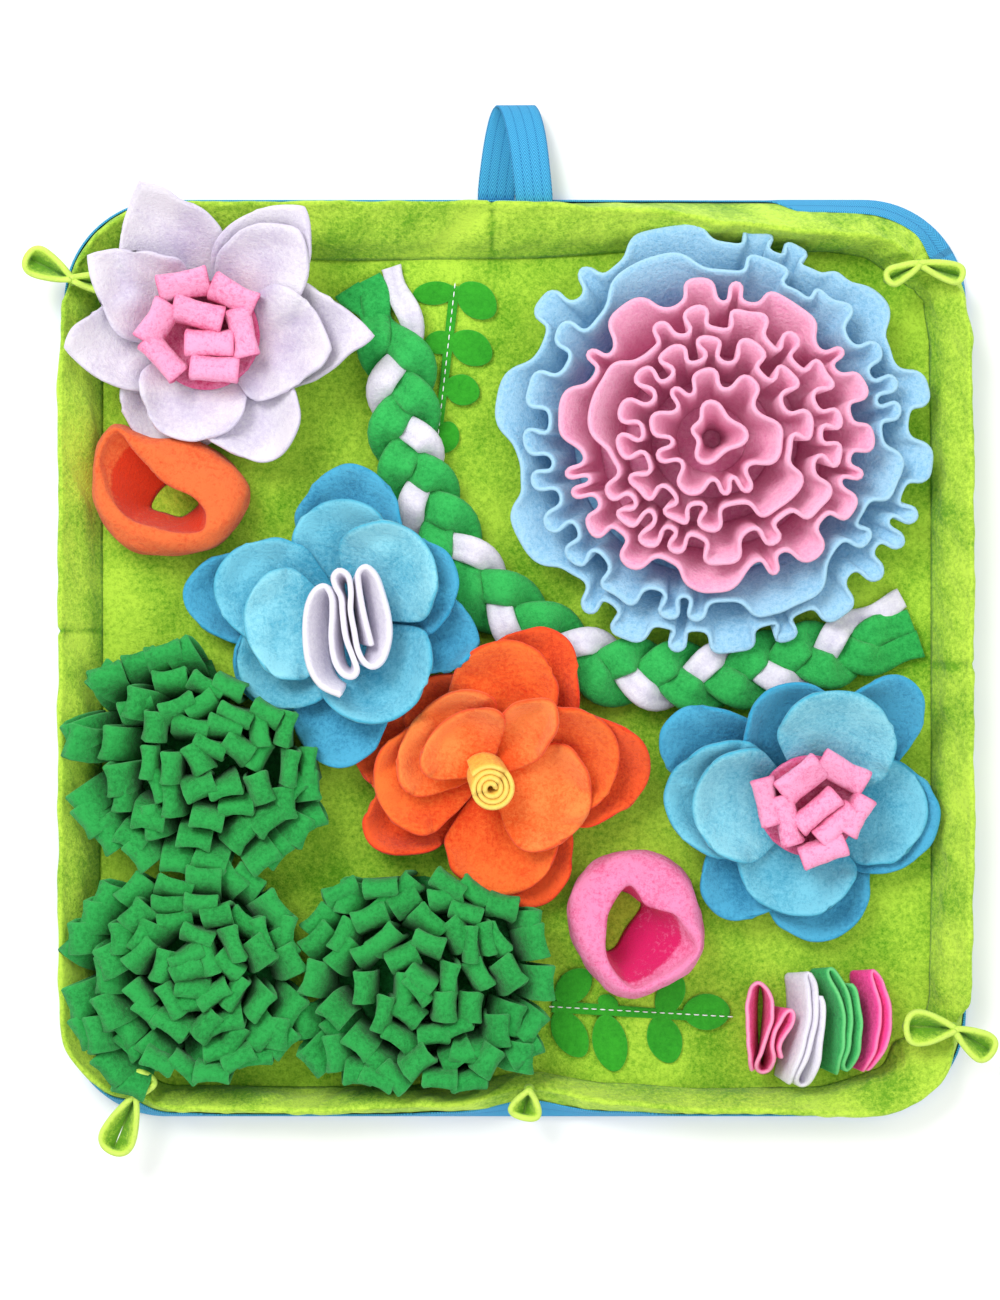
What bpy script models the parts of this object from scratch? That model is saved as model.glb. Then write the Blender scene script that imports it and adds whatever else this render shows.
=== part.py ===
# A square snuffle mat: a fleece base with a standing fleece rim, pinched into bows at its corners,
# and fleece flowers, tubes, tabs, a braid and clumps of loops sewn on it, for hiding dry food in.
# Tables and functions are in millimetres, x to the right, y towards the handle, z up from the floor.
# The origin is on the floor under the middle of the base.

import math

import bmesh
import bpy
from mathutils import Vector

MM = 0.001

# Base, rim and tape
HALF_X = 246.0
HALF_Y = 250.0
CORNER_R = 55.0
BASE_T = 4.0
GAP = 0.3
RIM_STEP = 32.0
TAPE_TOP = 14.0
TAPE_T = 1.2

# Cloth thicknesses
PETAL_T = 1.4
LOOP_T = 1.7
RUFFLE_T = 1.8
RIBBON_T = 1.8

# Flowers: petals lie in levels, each this much above the one below
LEVEL_STEP = 3.4
HUB_R = 7.0

# Braid
BRAID_SWING = 14.6
BRAID_LIFT = 9.5
STRAND_W = 13.6
STRAND_T = 5.2
BRAID_WAVES = 6
STRAND_SIDES = 6
BRAID_Z = BASE_T + GAP + BRAID_LIFT * 0.866 + STRAND_T / 2
BRAID_TOP = BRAID_Z + BRAID_LIFT * 0.866 + STRAND_T / 2

COLOURS = {
    "green_fleece": (0.30, 0.62, 0.03),
    "grass_fleece": (0.02, 0.33, 0.07),
    "leaf_felt": (0.05, 0.34, 0.02),
    "white_fleece": (0.80, 0.77, 0.83),
    "pink_fleece": (0.87, 0.26, 0.48),
    "hot_pink_fleece": (0.80, 0.05, 0.25),
    "blue_fleece": (0.10, 0.43, 0.64),
    "pale_blue_fleece": (0.32, 0.62, 0.83),
    "orange_fleece": (0.87, 0.15, 0.03),
    "yellow_fleece": (0.92, 0.66, 0.08),
    "blue_tape": (0.05, 0.34, 0.60),
}


# ---------------------------------------------------------------- scene and small tools


def clear_scene():
    for obj in list(bpy.data.objects):
        bpy.data.objects.remove(obj, do_unlink=True)


def make_collection(name):
    collection = bpy.data.collections.new(name)
    bpy.context.scene.collection.children.link(collection)
    return collection


def make_material(name):
    material = bpy.data.materials.new(name)
    material.use_nodes = True
    shader = material.node_tree.nodes["Principled BSDF"]
    shader.inputs["Base Color"].default_value = (*COLOURS[name], 1.0)
    shader.inputs["Roughness"].default_value = 0.6 if name == "blue_tape" else 0.92
    shader.inputs["Metallic"].default_value = 0.0
    return material


clear_scene()
PARTS = make_collection("snuffle_mat")
HELPERS = make_collection("helpers")
MATERIALS = {name: make_material(name) for name in COLOURS}


def add_object(name, data, material, helper=False):
    obj = bpy.data.objects.new(name, data)
    (HELPERS if helper else PARTS).objects.link(obj)
    if material:
        data.materials.append(MATERIALS[material])
    if helper:
        obj.hide_render = True
        obj.display_type = "WIRE"
    return obj


def mesh_object(name, bm, material, helper=False):
    mesh = bpy.data.meshes.new(name)
    bm.to_mesh(mesh)
    bm.free()
    return add_object(name, mesh, material, helper)


def thicken(obj, thickness):
    solidify = obj.modifiers.new("cloth_thickness", "SOLIDIFY")
    solidify.thickness = thickness * MM
    solidify.offset = 0.0
    return obj


def add_grid(bm, cells_u, cells_v, place):
    """Adds a grid of cells whose points place(u, v) puts in space, with u and v from 0 to 1."""
    made = bmesh.ops.create_grid(bm, x_segments=cells_u, y_segments=cells_v, size=1.0)
    for vert in made["verts"]:
        vert.co = Vector(place((vert.co.x + 1) / 2, (vert.co.y + 1) / 2)) * MM


def cloth(name, cells_u, cells_v, place, thickness, material, wraps=False, helper=False):
    """A sheet of cloth. One that wraps has its two ends sewn together into a ring."""
    bm = bmesh.new()
    add_grid(bm, cells_u, cells_v, place)
    if wraps:
        bmesh.ops.remove_doubles(bm, verts=bm.verts, dist=1e-6)
    bmesh.ops.recalc_face_normals(bm, faces=bm.faces)
    return thicken(mesh_object(name, bm, material, helper), thickness)


def loft(name, sections, material, closed=False, helper=False):
    """A solid through closed sections of as many points each. A closed one joins its last section to its first."""
    bm = bmesh.new()
    rings = [[bm.verts.new(Vector(point) * MM) for point in section] for section in sections]
    pairs = list(zip(rings, rings[1:]))
    if closed:
        pairs.append((rings[-1], rings[0]))
    for near, far in pairs:
        for i in range(len(near)):
            j = (i + 1) % len(near)
            bm.faces.new((near[i], near[j], far[j], far[i]))
    if not closed:
        bm.faces.new(rings[0])
        bm.faces.new(rings[-1])
    bmesh.ops.recalc_face_normals(bm, faces=bm.faces)
    return mesh_object(name, bm, material, helper)


def disc(name, x, y, z, radius, height, material, segments=12, helper=False):
    """An upright cylinder that stands on z."""
    bm = bmesh.new()
    bmesh.ops.create_cone(
        bm, cap_ends=True, segments=segments, radius1=radius * MM, radius2=radius * MM, depth=height * MM
    )
    bmesh.ops.translate(bm, verts=bm.verts, vec=Vector((x, y, z + height / 2)) * MM)
    return mesh_object(name, bm, material, helper)


def fuse(body, pieces):
    """Joins helper solids to a part, which stays one closed solid."""
    joined = bpy.data.collections.new(body.name + "_pieces")
    HELPERS.children.link(joined)
    for piece in pieces:
        HELPERS.objects.unlink(piece)
        joined.objects.link(piece)
    union = body.modifiers.new("sewn_together", "BOOLEAN")
    union.operation = "UNION"
    union.solver = "EXACT"
    union.operand_type = "COLLECTION"
    union.collection = joined
    union.use_self = True
    return body


def smooth(t):
    t = min(1.0, max(0.0, t))
    return t * t * (3 - 2 * t)


def from_table(rows, at, column):
    """A column's value at a place along a table, whose first column holds the places in order."""
    for low, high in zip(rows, rows[1:]):
        if at <= high[0]:
            share = smooth((at - low[0]) / (high[0] - low[0]))
            return low[column] + (high[column] - low[column]) * share
    return rows[-1][column]


def around(rows, angle, column):
    """The same, in a table whose first column is an angle in degrees that goes all the way round."""
    turned = [(rows[-1][0] - 360, *rows[-1][1:]), *rows, (rows[0][0] + 360, *rows[0][1:])]
    return from_table(turned, angle % 360, column)


# ---------------------------------------------------------------- outline of the base

SIDE_X = HALF_X - CORNER_R
SIDE_Y = HALF_Y - CORNER_R
ARC = CORNER_R * math.pi / 2
PERIMETER = 4 * (SIDE_X + SIDE_Y + ARC)


def outline(along):
    """(point on the base's outline, outward direction), anticlockwise from the middle of the right side."""
    along %= PERIMETER
    pieces = (
        (SIDE_Y, HALF_X, 0, 0, 1),
        (ARC, SIDE_X, SIDE_Y, 0, None),
        (2 * SIDE_X, SIDE_X, HALF_Y, -1, 0),
        (ARC, -SIDE_X, SIDE_Y, 90, None),
        (2 * SIDE_Y, -HALF_X, SIDE_Y, 0, -1),
        (ARC, -SIDE_X, -SIDE_Y, 180, None),
        (2 * SIDE_X, -SIDE_X, -HALF_Y, 1, 0),
        (ARC, SIDE_X, -SIDE_Y, 270, None),
        (SIDE_Y, HALF_X, -SIDE_Y, 0, 1),
    )
    for length, x, y, a, b in pieces:
        if along <= length:
            break
        along -= length
    if b is None:
        angle = math.radians(a) + along / CORNER_R
        out = Vector((math.cos(angle), math.sin(angle)))
        return Vector((x, y)) + out * CORNER_R, out
    return Vector((x + a * along, y + b * along)), Vector((b, -a))


# ---------------------------------------------------------------- rim

# along: place on the outline; inset: how far inside it the inner seam runs;
# lean: how far outside it the top edge stands; height: of the top edge above the floor
BOW_TR = 226.7
BOW_TL = 739.1
BOW_BL = 1208.1
BOW_BC = 1424.7
BOW_BR = 1688.4
RIM_ROWS = {
    "rim_top": (
        (BOW_TR, 34, -21, 19.5),
        (250, 34, -21, 25),
        (310, 27, -19, 30),
        (355, 25, -14, 30),
        (395, 27, -9, 30),
        (472, 31, -5, 30),
        (560, 32, -5, 30),
        (663, 30, -5, 29),
        (700, 27, -11, 27),
        (BOW_TL, 20, -4, 19.5),
    ),
    "rim_left": (
        (BOW_TL, 20, -4, 19.5),
        (757, 19, -1, 27),
        (800, 20, 0, 30),
        (945, 20, 0, 30),
        (1100, 18, 0, 29),
        (1150, 18, -1, 28),
        (1188, 19, -5, 26),
        (BOW_BL, 20, -10, 19.5),
    ),
    "rim_bottom": (
        (BOW_BL, 20, -10, 19.5),
        (1232, 16, -6, 27),
        (1300, 15, -5, 30),
        (1380, 16, -8, 30),
        (BOW_BC, 23, -15, 19.5),
        (1470, 17, -9, 30),
        (1520, 14, -5, 30),
        (1580, 15, -4, 30),
        (1620, 24, -3, 29),
        (1652, 32, -3, 27),
        (BOW_BR, 22, -7, 19.5),
    ),
    "rim_right": (
        (BOW_BR, 22, -7, 19.5),
        (1706, 19, 0, 27),
        (1760, 18, 1, 30),
        (1990, 18, 1, 30),
        (2060, 19, 0, 30),
        (2084, 22, -3, 25),
        (2096, 26, -7, 22),
        (2106, 30, -13, 20.3),
        (PERIMETER + BOW_TR, 34, -21, 19.5),
    ),
}


def rim_outside(row, z):
    """How far outside the outline the rim's outer face is at a height."""
    _, _, lean, height = row
    return lean * (z - BASE_T) / (height - BASE_T)


def rim_section(along, row):
    """The rim is a folded band: an inner face from the seam to the top edge, and an outer face down to the foot."""
    _, inset, lean, height = row
    foot = BASE_T + GAP
    profile = (
        (-inset, foot),
        (-0.62 * inset + 0.38 * (lean - 3), foot + 0.52 * (height - foot)),
        (lean - 3.4, height - 2.2),
        (lean - 1.6, height),
        (lean - 0.4, height - 2.4),
        (rim_outside(row, 0.55 * height) - 0.4, 0.55 * height),
        (-0.4, foot),
    )
    point, out = outline(along)
    return [(*(point + out * offset), z) for offset, z in profile]


def rim_row(rows, along):
    return (along, *(from_table(rows, along, column) for column in (1, 2, 3)))


def stations(rows):
    """The table's own places along the outline, and enough between them."""
    places = [rows[0][0]]
    for low, high in zip(rows, rows[1:]):
        steps = math.ceil((high[0] - low[0]) / RIM_STEP)
        places += [low[0] + (high[0] - low[0]) * (i + 1) / steps for i in range(steps)]
    return places


RIM_ORDER = ("rim_top", "rim_left", "rim_bottom", "rim_right")


def all_stations():
    """(rows, place) once round the base."""
    return [(RIM_ROWS[name], place) for name in RIM_ORDER for place in stations(RIM_ROWS[name])[:-1]]


def base_panel():
    """The base: fleece, wadding and backing sewn into one flat slab with round corners."""
    bm = bmesh.new()
    foot = [bm.verts.new(Vector((*outline(place)[0], 0)) * MM) for _, place in all_stations()]
    made = bmesh.ops.extrude_face_region(bm, geom=[bm.faces.new(foot)])
    top = [part for part in made["geom"] if isinstance(part, bmesh.types.BMVert)]
    bmesh.ops.translate(bm, verts=top, vec=Vector((0, 0, BASE_T)) * MM)
    bmesh.ops.recalc_face_normals(bm, faces=bm.faces)
    mesh_object("base_panel", bm, "green_fleece")


def rim(name, rows):
    places = stations(rows)
    places[0] += 0.8 * GAP
    places[-1] -= 0.8 * GAP
    loft(name, [rim_section(place, rim_row(rows, place)) for place in places], "green_fleece")


def edge_tape():
    """The herringbone tape sewn round the foot of the rim, outside."""
    lift = 0.6
    sections = []
    for rows, along in all_stations():
        point, out = outline(along)
        row = rim_row(rows, along)
        offset = rim_outside(row, TAPE_TOP) + GAP + 1.6
        low, middle, high = (GAP, lift), (GAP + 1.2, BASE_T + 1.2), (offset, TAPE_TOP)
        profile = (
            low,
            middle,
            high,
            (high[0] + TAPE_T, high[1]),
            (middle[0] + TAPE_T, middle[1]),
            (low[0] + TAPE_T, low[1]),
        )
        sections.append([(*(point + out * o), z) for o, z in profile])
    loft("edge_tape", sections, "blue_tape", closed=True)


# Bows: where the rim's top edge is pinched, its spare cloth stands out as an outer and an inner loop.
# name: rim, place along it, (outer direction, length, width), (inner direction, length, width)
BOWS = {
    "bow_top_left": ("rim_left", BOW_TL, (153, 28, 13), (-8, 22, 11)),
    "bow_top_right": ("rim_top", BOW_TR, (-14, 26, 10), (218, 24, 12)),
    "bow_bottom_right": ("rim_right", BOW_BR, (-32, 25, 10), (178, 27, 15)),
    "bow_bottom_left": ("rim_left", BOW_BL, (247, 34, 16), (60, 12, 10)),
    "bow_bottom": ("rim_bottom", BOW_BC, (255, 16, 13), None),
}
BOW_LOW = 19.5 + 2.5 * GAP
BOW_HIGH = 32.0


def teardrop(x, y, direction, length, width):
    """place(u, v) of a strip on edge that leaves a point, goes round and comes back."""
    turn = math.radians(direction)

    def place(u, v):
        t = 2 * math.pi * u
        out = length * (1 - math.cos(t)) / 2
        side = width / 2 * math.sin(t) * (0.25 + 0.95 * math.sin(t / 2) ** 2)
        return (
            x + out * math.cos(turn) - side * math.sin(turn),
            y + out * math.sin(turn) + side * math.cos(turn),
            BOW_LOW + (BOW_HIGH - BOW_LOW) * v + 3.0 * smooth(out / 9) * (1 - v) - 2.0 * out / length * v,
        )

    return place


def bow(name, rim_name, along, outer, inner):
    point, out = outline(along)
    x, y = point + out * (rim_row(RIM_ROWS[rim_name], along)[2] - 1.6)
    knot = disc(name, x, y, BOW_LOW, 1.6, BOW_HIGH - BOW_LOW - 0.6, "green_fleece", 8)
    loops = []
    for label, size in (("outer", outer), ("inner", inner)):
        if size:
            place = teardrop(x, y, *size)
            loops.append(cloth(f"{name}_{label}", 10, 1, place, 2.0, "green_fleece", wraps=True, helper=True))
    fuse(knot, loops)


def handle_tape():
    """A loop of herringbone tape sewn to the top edge. It lies on the floor and comes back over itself."""
    width = 20.0
    start_y = HALF_Y + GAP + TAPE_T + GAP + 0.4
    reach = 50.0
    low, high = 1.0, 17.0

    def place(u, v):
        turn = math.pi * u
        y = start_y + reach * math.sin(turn) ** 0.8
        z = low + (high - low) * (1 - math.cos(turn)) / 2 * (0.4 + 0.6 * smooth(u))
        across = (v - 0.5) * width
        slant = math.radians(11 - 22 * u)
        x = -10.5 + 21 * u + across * math.cos(slant)
        return (x, y - across * math.sin(slant) * math.sin(turn) ** 0.4, z + 0.4)

    cloth("handle_tape", 12, 1, place, 1.3, "blue_tape")


# ---------------------------------------------------------------- what lies under a flower

BRAID_ROUTE = (
    (-80, 208),
    (-71, 189),
    (-64, 162),
    (-61.5, 135),
    (-57, 110),
    (-49, 86),
    (-35, 61.5),
    (-16.5, 37),
    (8, 16.5),
    (33, 1.5),
    (60, -8),
    (87, -10.5),
    (114.5, -8.8),
    (142, -4.5),
    (169, 2),
    (193.5, 11),
    (217, 20.5),
)


def route_points(route, count):
    """Points evenly spaced in number along a smooth curve through a route's own points."""
    points = [Vector(p) for p in route]
    found = []
    for i in range(count):
        at = (len(points) - 1) * i / (count - 1)
        k = min(int(at), len(points) - 2)
        t = at - k
        before, after = points[max(k - 1, 0)], points[min(k + 2, len(points) - 1)]
        a, b = points[k], points[k + 1]
        slope_a, slope_b = (b - before) / 2, (after - a) / 2
        h1, h2 = 2 * t**3 - 3 * t**2 + 1, -2 * t**3 + 3 * t**2
        found.append(a * h1 + b * h2 + slope_a * (t**3 - 2 * t**2 + t) + slope_b * (t**3 - t**2))
    return found


BRAID_LINE = route_points(BRAID_ROUTE, 40)


def from_braid(x, y):
    """Distance from the braid's middle line."""
    here = Vector((x, y))
    best = 1e9
    for a, b in zip(BRAID_LINE, BRAID_LINE[1:]):
        step = b - a
        t = max(0.0, min(1.0, (here - a).dot(step) / step.length_squared))
        best = min(best, (here - a - step * t).length)
    return best


def over(distance, inner, outer, height):
    """Height of cloth that lies over something: full inside a distance, and down on the base outside another."""
    t = min(1.0, max(0.0, (outer - distance) / (outer - inner)))
    return height * (2 * t * t if t < 0.5 else 1 - 2 * (1 - t) ** 2)


def over_braid(x, y):
    return over(from_braid(x, y), 12, 80, BRAID_TOP - BASE_T + 0.8)


# ---------------------------------------------------------------- petals

# name: centre x, y, and how much higher than the middle its petals are 70 mm out, least and most
FLOWERS = {
    "lotus": (-167.8, 174.9, 10, 28),
    "blue_left": (-92.1, 23.3, 5, 5),
    "orange": (-15.2, -63.4, 4, 4),
    "blue_right": (158.7, -79.6, 5, 5),
}
# how far from its middle each takes to rise onto what lies under it
FLAT_MIDDLE = {"lotus": 20, "blue_left": 58, "orange": 20, "blue_right": 24}
# how much taller the topmost hub is, to meet a backing that curves up
HUB_EXTRA = {"lotus": 0.3, "blue_left": 0.0, "orange": 0.0, "blue_right": 0.2}
# how many levels of petals each has
LEVELS = {"lotus": 4, "blue_left": 6, "orange": 6, "blue_right": 6}

# flower, whorl, then a row for each petal: direction, length, width, point (0 round, 0.3 sharp), level
WHORLS = (
    ("lotus", "outer", (
        (112, 84, 50, 0.22, 0),
        (187, 70, 42, 0.18, 1),
        (-4, 90, 50, 0.22, 0),
        (50, 81, 50, 0.10, 1),
        (230, 58, 36, 0.10, 0),
    )),
    ("lotus", "inner", (
        (147, 69, 44, 0.22, 2),
        (258, 53, 52, 0.0, 3),
        (303, 75, 48, 0.0, 2),
        (47, 70, 46, 0.05, 2),
        (-11, 67, 48, 0.18, 3),
    )),
    ("blue_left", "outer", (
        (87, 80, 58, 0.0, 0),
        (171, 87, 50, 0.0, 0),
        (25, 64, 52, 0.0, 1),
        (264, 81, 48, 0.0, 0),
        (-12, 72, 46, 0.0, 0),
        (216, 68, 52, 0.0, 1),
    )),
    ("blue_left", "middle", (
        (92, 61, 54, 0.0, 2),
        (164, 73, 56, 0.0, 3),
        (212, 66, 48, 0.0, 2),
        (-61, 59, 62, 0.0, 3),
    )),
    ("blue_left", "inner", (
        (42, 57, 58, 0.0, 4),
        (189, 53, 58, 0.0, 5),
    )),
    ("orange", "outer", (
        (66, 86, 60, 0.0, 0),
        (4, 88, 62, 0.0, 1),
        (-65, 77, 56, 0.0, 0),
        (204, 74, 42, 0.0, 0),
        (168, 76, 44, 0.0, 1),
        (125, 60, 46, 0.0, 1),
    )),
    ("orange", "middle", (
        (78, 74, 58, 0.0, 2),
        (12, 72, 62, 0.0, 3),
        (-77, 66, 62, 0.0, 2),
        (182, 61, 58, 0.0, 3),
    )),
    ("orange", "inner", (
        (-20, 57, 56, 0.0, 4),
        (62, 44, 28, 0.0, 5),
        (150, 44, 42, 0.0, 4),
    )),
    ("blue_right", "outer", (
        (50, 85, 48, 0.0, 0),
        (151, 88, 48, 0.0, 0),
        (229, 76, 48, 0.0, 1),
        (-84, 74, 60, 0.0, 0),
        (-9, 71, 60, 0.0, 1),
        (103, 66, 54, 0.0, 1),
    )),
    ("blue_right", "middle", (
        (176, 77, 64, 0.0, 2),
        (258, 59, 62, 0.0, 3),
        (-5, 64, 56, 0.0, 2),
    )),
    ("blue_right", "inner", (
        (180, 62, 60, 0.0, 4),
        (68, 65, 62, 0.0, 5),
    )),
)

def ground(flower, x, y):
    """Height of what a flower lies on: the base, the braid, and for the left blue flower the orange one."""
    under = over_braid(x, y)
    if flower == "blue_left":
        cx, cy = FLOWERS["orange"][:2]
        under = max(under, over(math.hypot(x - cx, y - cy), 70, 124, 4 * LEVEL_STEP + 1.5))
    cx, cy = FLOWERS[flower][:2]
    return BASE_T + GAP + under * smooth((math.hypot(x - cx, y - cy) - 2) / FLAT_MIDDLE[flower])


def climb(flower, x, y):
    """How much higher than its middle a petal is. The lotus climbs over the rim on its corner side."""
    cx, cy, low, high = FLOWERS[flower]
    away = Vector((x - cx, y - cy))
    reach = max(0.0, away.length - 12) / 58
    towards_corner = away.normalized().dot(Vector((-0.62, 0.78))) if away.length > 1 else 0
    return (low + (high - low) * smooth(towards_corner * 1.2 + 0.5)) * reach**1.2


def petal_height(flower, x, y, level):
    return ground(flower, x, y) + PETAL_T / 2 + level * LEVEL_STEP + climb(flower, x, y)


def bed(flower, x, y):
    """Height at which whatever is sewn on top of a flower's petals lies."""
    return petal_height(flower, x, y, LEVELS[flower]) - PETAL_T / 2


def petal_place(flower, direction, length, width, point, level):
    """place(u, v) of a petal: a square grid pressed into a disc, drawn in at its root and out at its tip."""
    cx, cy = FLOWERS[flower][:2]
    turn = math.radians(direction)
    root = 2.0

    def place(u, v):
        a, b = 2 * u - 1, 2 * v - 1
        side, ahead = a * math.sqrt(1 - b * b / 2), b * math.sqrt(1 - a * a / 2)
        out = root + (length * (1 - point) - root) * (ahead + 1) / 2
        out += point * length * max(ahead, 0) ** 2 * (1 - abs(side)) ** 1.3
        across = side * width / 2 * (0.42 + 0.58 * smooth(out / length / 0.5))
        x = cx + out * math.cos(turn) - across * math.sin(turn)
        y = cy + out * math.sin(turn) + across * math.cos(turn)
        return (x, y, petal_height(flower, x, y, level))

    return place


def whorl(flower, label, rows):
    """One whorl of a flower: its petals, sewn together at the middle."""
    cx, cy = FLOWERS[flower][:2]
    material = {"lotus": "white_fleece", "orange": "orange_fleece"}.get(flower, "blue_fleece")
    name = f"{flower}_{label}_petals"
    lowest, highest = min(row[4] for row in rows), max(row[4] for row in rows)
    bottom = petal_height(flower, cx, cy, lowest) - PETAL_T / 2 if lowest else BASE_T + GAP
    top = petal_height(flower, cx, cy, highest + 1) - PETAL_T / 2 - GAP
    if highest + 1 == LEVELS[flower]:
        top += HUB_EXTRA[flower]
    hub = disc(name, cx, cy, bottom, HUB_R, top - bottom, material, 10)
    petals = []
    for i, row in enumerate(rows):
        place = petal_place(flower, *row)
        cells = 5 if row[1] > 84 else 4
        petals.append(cloth(f"{name}_{i}", 3, cells, place, PETAL_T, material, helper=True))
    fuse(hub, petals)


# ---------------------------------------------------------------- centres of the flowers


def arch_place(x, y, foot, direction, strip, depth, height, lean=0.0):
    """place(u, v) of a strip that rises from the backing, turns over and comes down again.
    foot(x, y) is the backing's height; direction is where it leans; the strip's width runs across that."""
    turn = math.radians(direction)
    shape = ((-0.36, 0.0), (-0.5, 0.8), (0.42, 1.0), (0.42, 0.0))

    def place(u, v):
        k = min(int(v * 3 + 1e-6), 2)
        t = v * 3 - k
        fore = shape[k][0] + (shape[k + 1][0] - shape[k][0]) * t
        up = shape[k][1] + (shape[k + 1][1] - shape[k][1]) * t
        out = fore * depth + lean * up**1.4
        across = (u - 0.5) * strip
        px = x + out * math.cos(turn) - across * math.sin(turn)
        py = y + out * math.sin(turn) + across * math.cos(turn)
        return (px, py, foot(px, py) + height * up)

    return place


def loops_on(name, backing, loops, material):
    """Arched loops of strip, one mesh of many pieces, sewn down to a backing."""
    bm = bmesh.new()
    for place in loops:
        add_grid(bm, 1, 3, place)
    bmesh.ops.recalc_face_normals(bm, faces=bm.faces)
    strips = thicken(mesh_object(name + "_strips", bm, material, helper=True), LOOP_T)
    fuse(backing, [strips])


# x and y from the flower's centre, direction that the loop leans, strip width, depth
LOTUS_LOOPS = (
    (-10, 26, 102, 25, 9),
    (17, 20, 62, 24, 9),
    (-2, 11, 75, 26, 9),
    (-25, 5, 150, 22, 10),
    (-24, -13, 222, 24, 8),
    (22, 0, 12, 24, 9),
    (4, -6, 270, 24, 9),
    (8, -21, 266, 24, 10),
)
BLUE_RIGHT_LOOPS = (
    (-24, 3, 195, 24, 8),
    (-12, -7, 195, 26, 8),
    (-5, 14, 130, 24, 13),
    (17, 19, 62, 28, 9),
    (3, -2, 310, 26, 9),
    (13, -10, 312, 24, 9),
    (23, -6, 330, 20, 8),
    (7, -25, 290, 24, 8),
)


def loop_centre(flower, radius, rows, material):
    """A cluster of standing loops on a small backing, above the petals."""
    cx, cy = FLOWERS[flower][:2]
    thickness = 1.8

    def middle(x, y):
        lift = 0.7 * ((x - cx) ** 2 + (y - cy) ** 2) / radius**2
        return bed(flower, x, y) + thickness / 2 + lift

    def place(u, v):
        a, b = 2 * u - 1, 2 * v - 1
        x, y = cx + radius * a * math.sqrt(1 - b * b / 2), cy + radius * b * math.sqrt(1 - a * a / 2)
        return (x, y, middle(x, y))

    backing = cloth(f"{flower}_loops", 3, 3, place, thickness, material)
    loops = [
        arch_place(cx + x, cy + y, middle, direction, strip, depth, 16.0, 1.5)
        for x, y, direction, strip, depth in rows
    ]
    loops_on(f"{flower}_loops", backing, loops, material)


def serpentine(legs, leg_length, pitch, steps):
    """Points of a strip folded back and forth, with round turns, about its own middle."""
    points = []
    half = leg_length / 2 - pitch / 2
    for leg in range(legs):
        x = (leg - (legs - 1) / 2) * pitch
        sign = 1 if leg % 2 == 0 else -1
        points += [Vector((x, -half * sign)), Vector((x, half * sign))]
        if leg < legs - 1:
            for i in range(1, steps):
                angle = math.pi * i / steps
                points.append(
                    Vector((x + pitch / 2 * (1 - math.cos(angle)), sign * (half + pitch / 2 * math.sin(angle))))
                )
    return points


def standing_strip(name, points, bottom, top, thickness, material):
    """A strip on edge along plan points. bottom and top give heights from a share of its length and a point."""
    count = len(points) - 1

    def place(u, v):
        i = round(u * count)
        x, y = points[i]
        low = bottom(i / count, x, y)
        return (x, y, low + (top(i / count, x, y) - low) * v)

    return cloth(name, count, 1, place, thickness, material)


def turned(points, angle, x, y):
    turn = math.radians(angle)
    cos, sin = math.cos(turn), math.sin(turn)
    return [Vector((x + p.x * cos - p.y * sin, y + p.x * sin + p.y * cos)) for p in points]


def finer(points, longest):
    """The same points, with more on any step that is too long."""
    fine = [points[0]]
    for a, b in zip(points, points[1:]):
        pieces = math.ceil((b - a).length / longest)
        fine += [a + (b - a) * (i + 1) / pieces for i in range(pieces)]
    return fine


def white_ribbon():
    """The left blue flower's centre: a strip folded back and forth and stood on edge."""
    cx, cy = FLOWERS["blue_left"][:2]
    points = finer(turned(serpentine(6, 50, 8.2, 3), 14, cx + 4, cy - 8), 16)
    low = lambda s, x, y: bed("blue_left", x, y)
    high = lambda s, x, y: low(s, x, y) + 17
    standing_strip("blue_left_ribbon", points, low, high, RIBBON_T, "white_fleece")


def yellow_roll():
    """The orange flower's centre: a strip rolled up and stood on end."""
    cx, cy = FLOWERS["orange"][:2]
    turns, inner, outer, steps = 3.3, 2.2, 12.5, 32
    points = []
    for i in range(steps + 1):
        share = i / steps
        angle = 2 * math.pi * turns * share
        radius = inner + (outer - inner) * share
        points.append(Vector((cx + 2 + radius * math.cos(angle), cy - 4 + radius * math.sin(angle))))
    low = lambda s, x, y: bed("orange", x, y)
    high = lambda s, x, y: low(s, x, y) + 20 - 3 * s
    standing_strip("orange_roll", points, low, high, RIBBON_T, "yellow_fleece")


# ---------------------------------------------------------------- ruffled flower

RUFFLE_X, RUFFLE_Y = 107.5, 120.0
# angle, and how far its outer ring gets from its middle: the rim holds it in towards the handle
RUFFLE_REACH = ((0, 123), (38, 121), (50, 106), (90, 108), (125, 112), (150, 122), (230, 120), (280, 110), (320, 118))
RUFFLE_BACKING_T = 1.5
# radius at the foot, radius at the top, folds, depth of folds in and out, sideways swing, height, phase, points
RUFFLES = {
    "ruffle_blue": (
        (89, 111, 9, 9.0, 5.5, 19, 0.3, 39),
        (79, 95, 8, 6.5, 5.0, 25, 1.4, 34),
    ),
    "ruffle_pink": (
        (64, 81, 9, 6.5, 4.5, 34, 0.0, 36),
        (51, 63, 7, 5.0, 4.0, 37, 0.9, 29),
        (38, 47, 6, 4.6, 3.5, 39, 2.0, 24),
        (25, 32, 5, 4.2, 3.0, 40, 0.4, 19),
        (12, 16, 3, 3.4, 2.5, 40, 1.0, 12),
    ),
}


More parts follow.
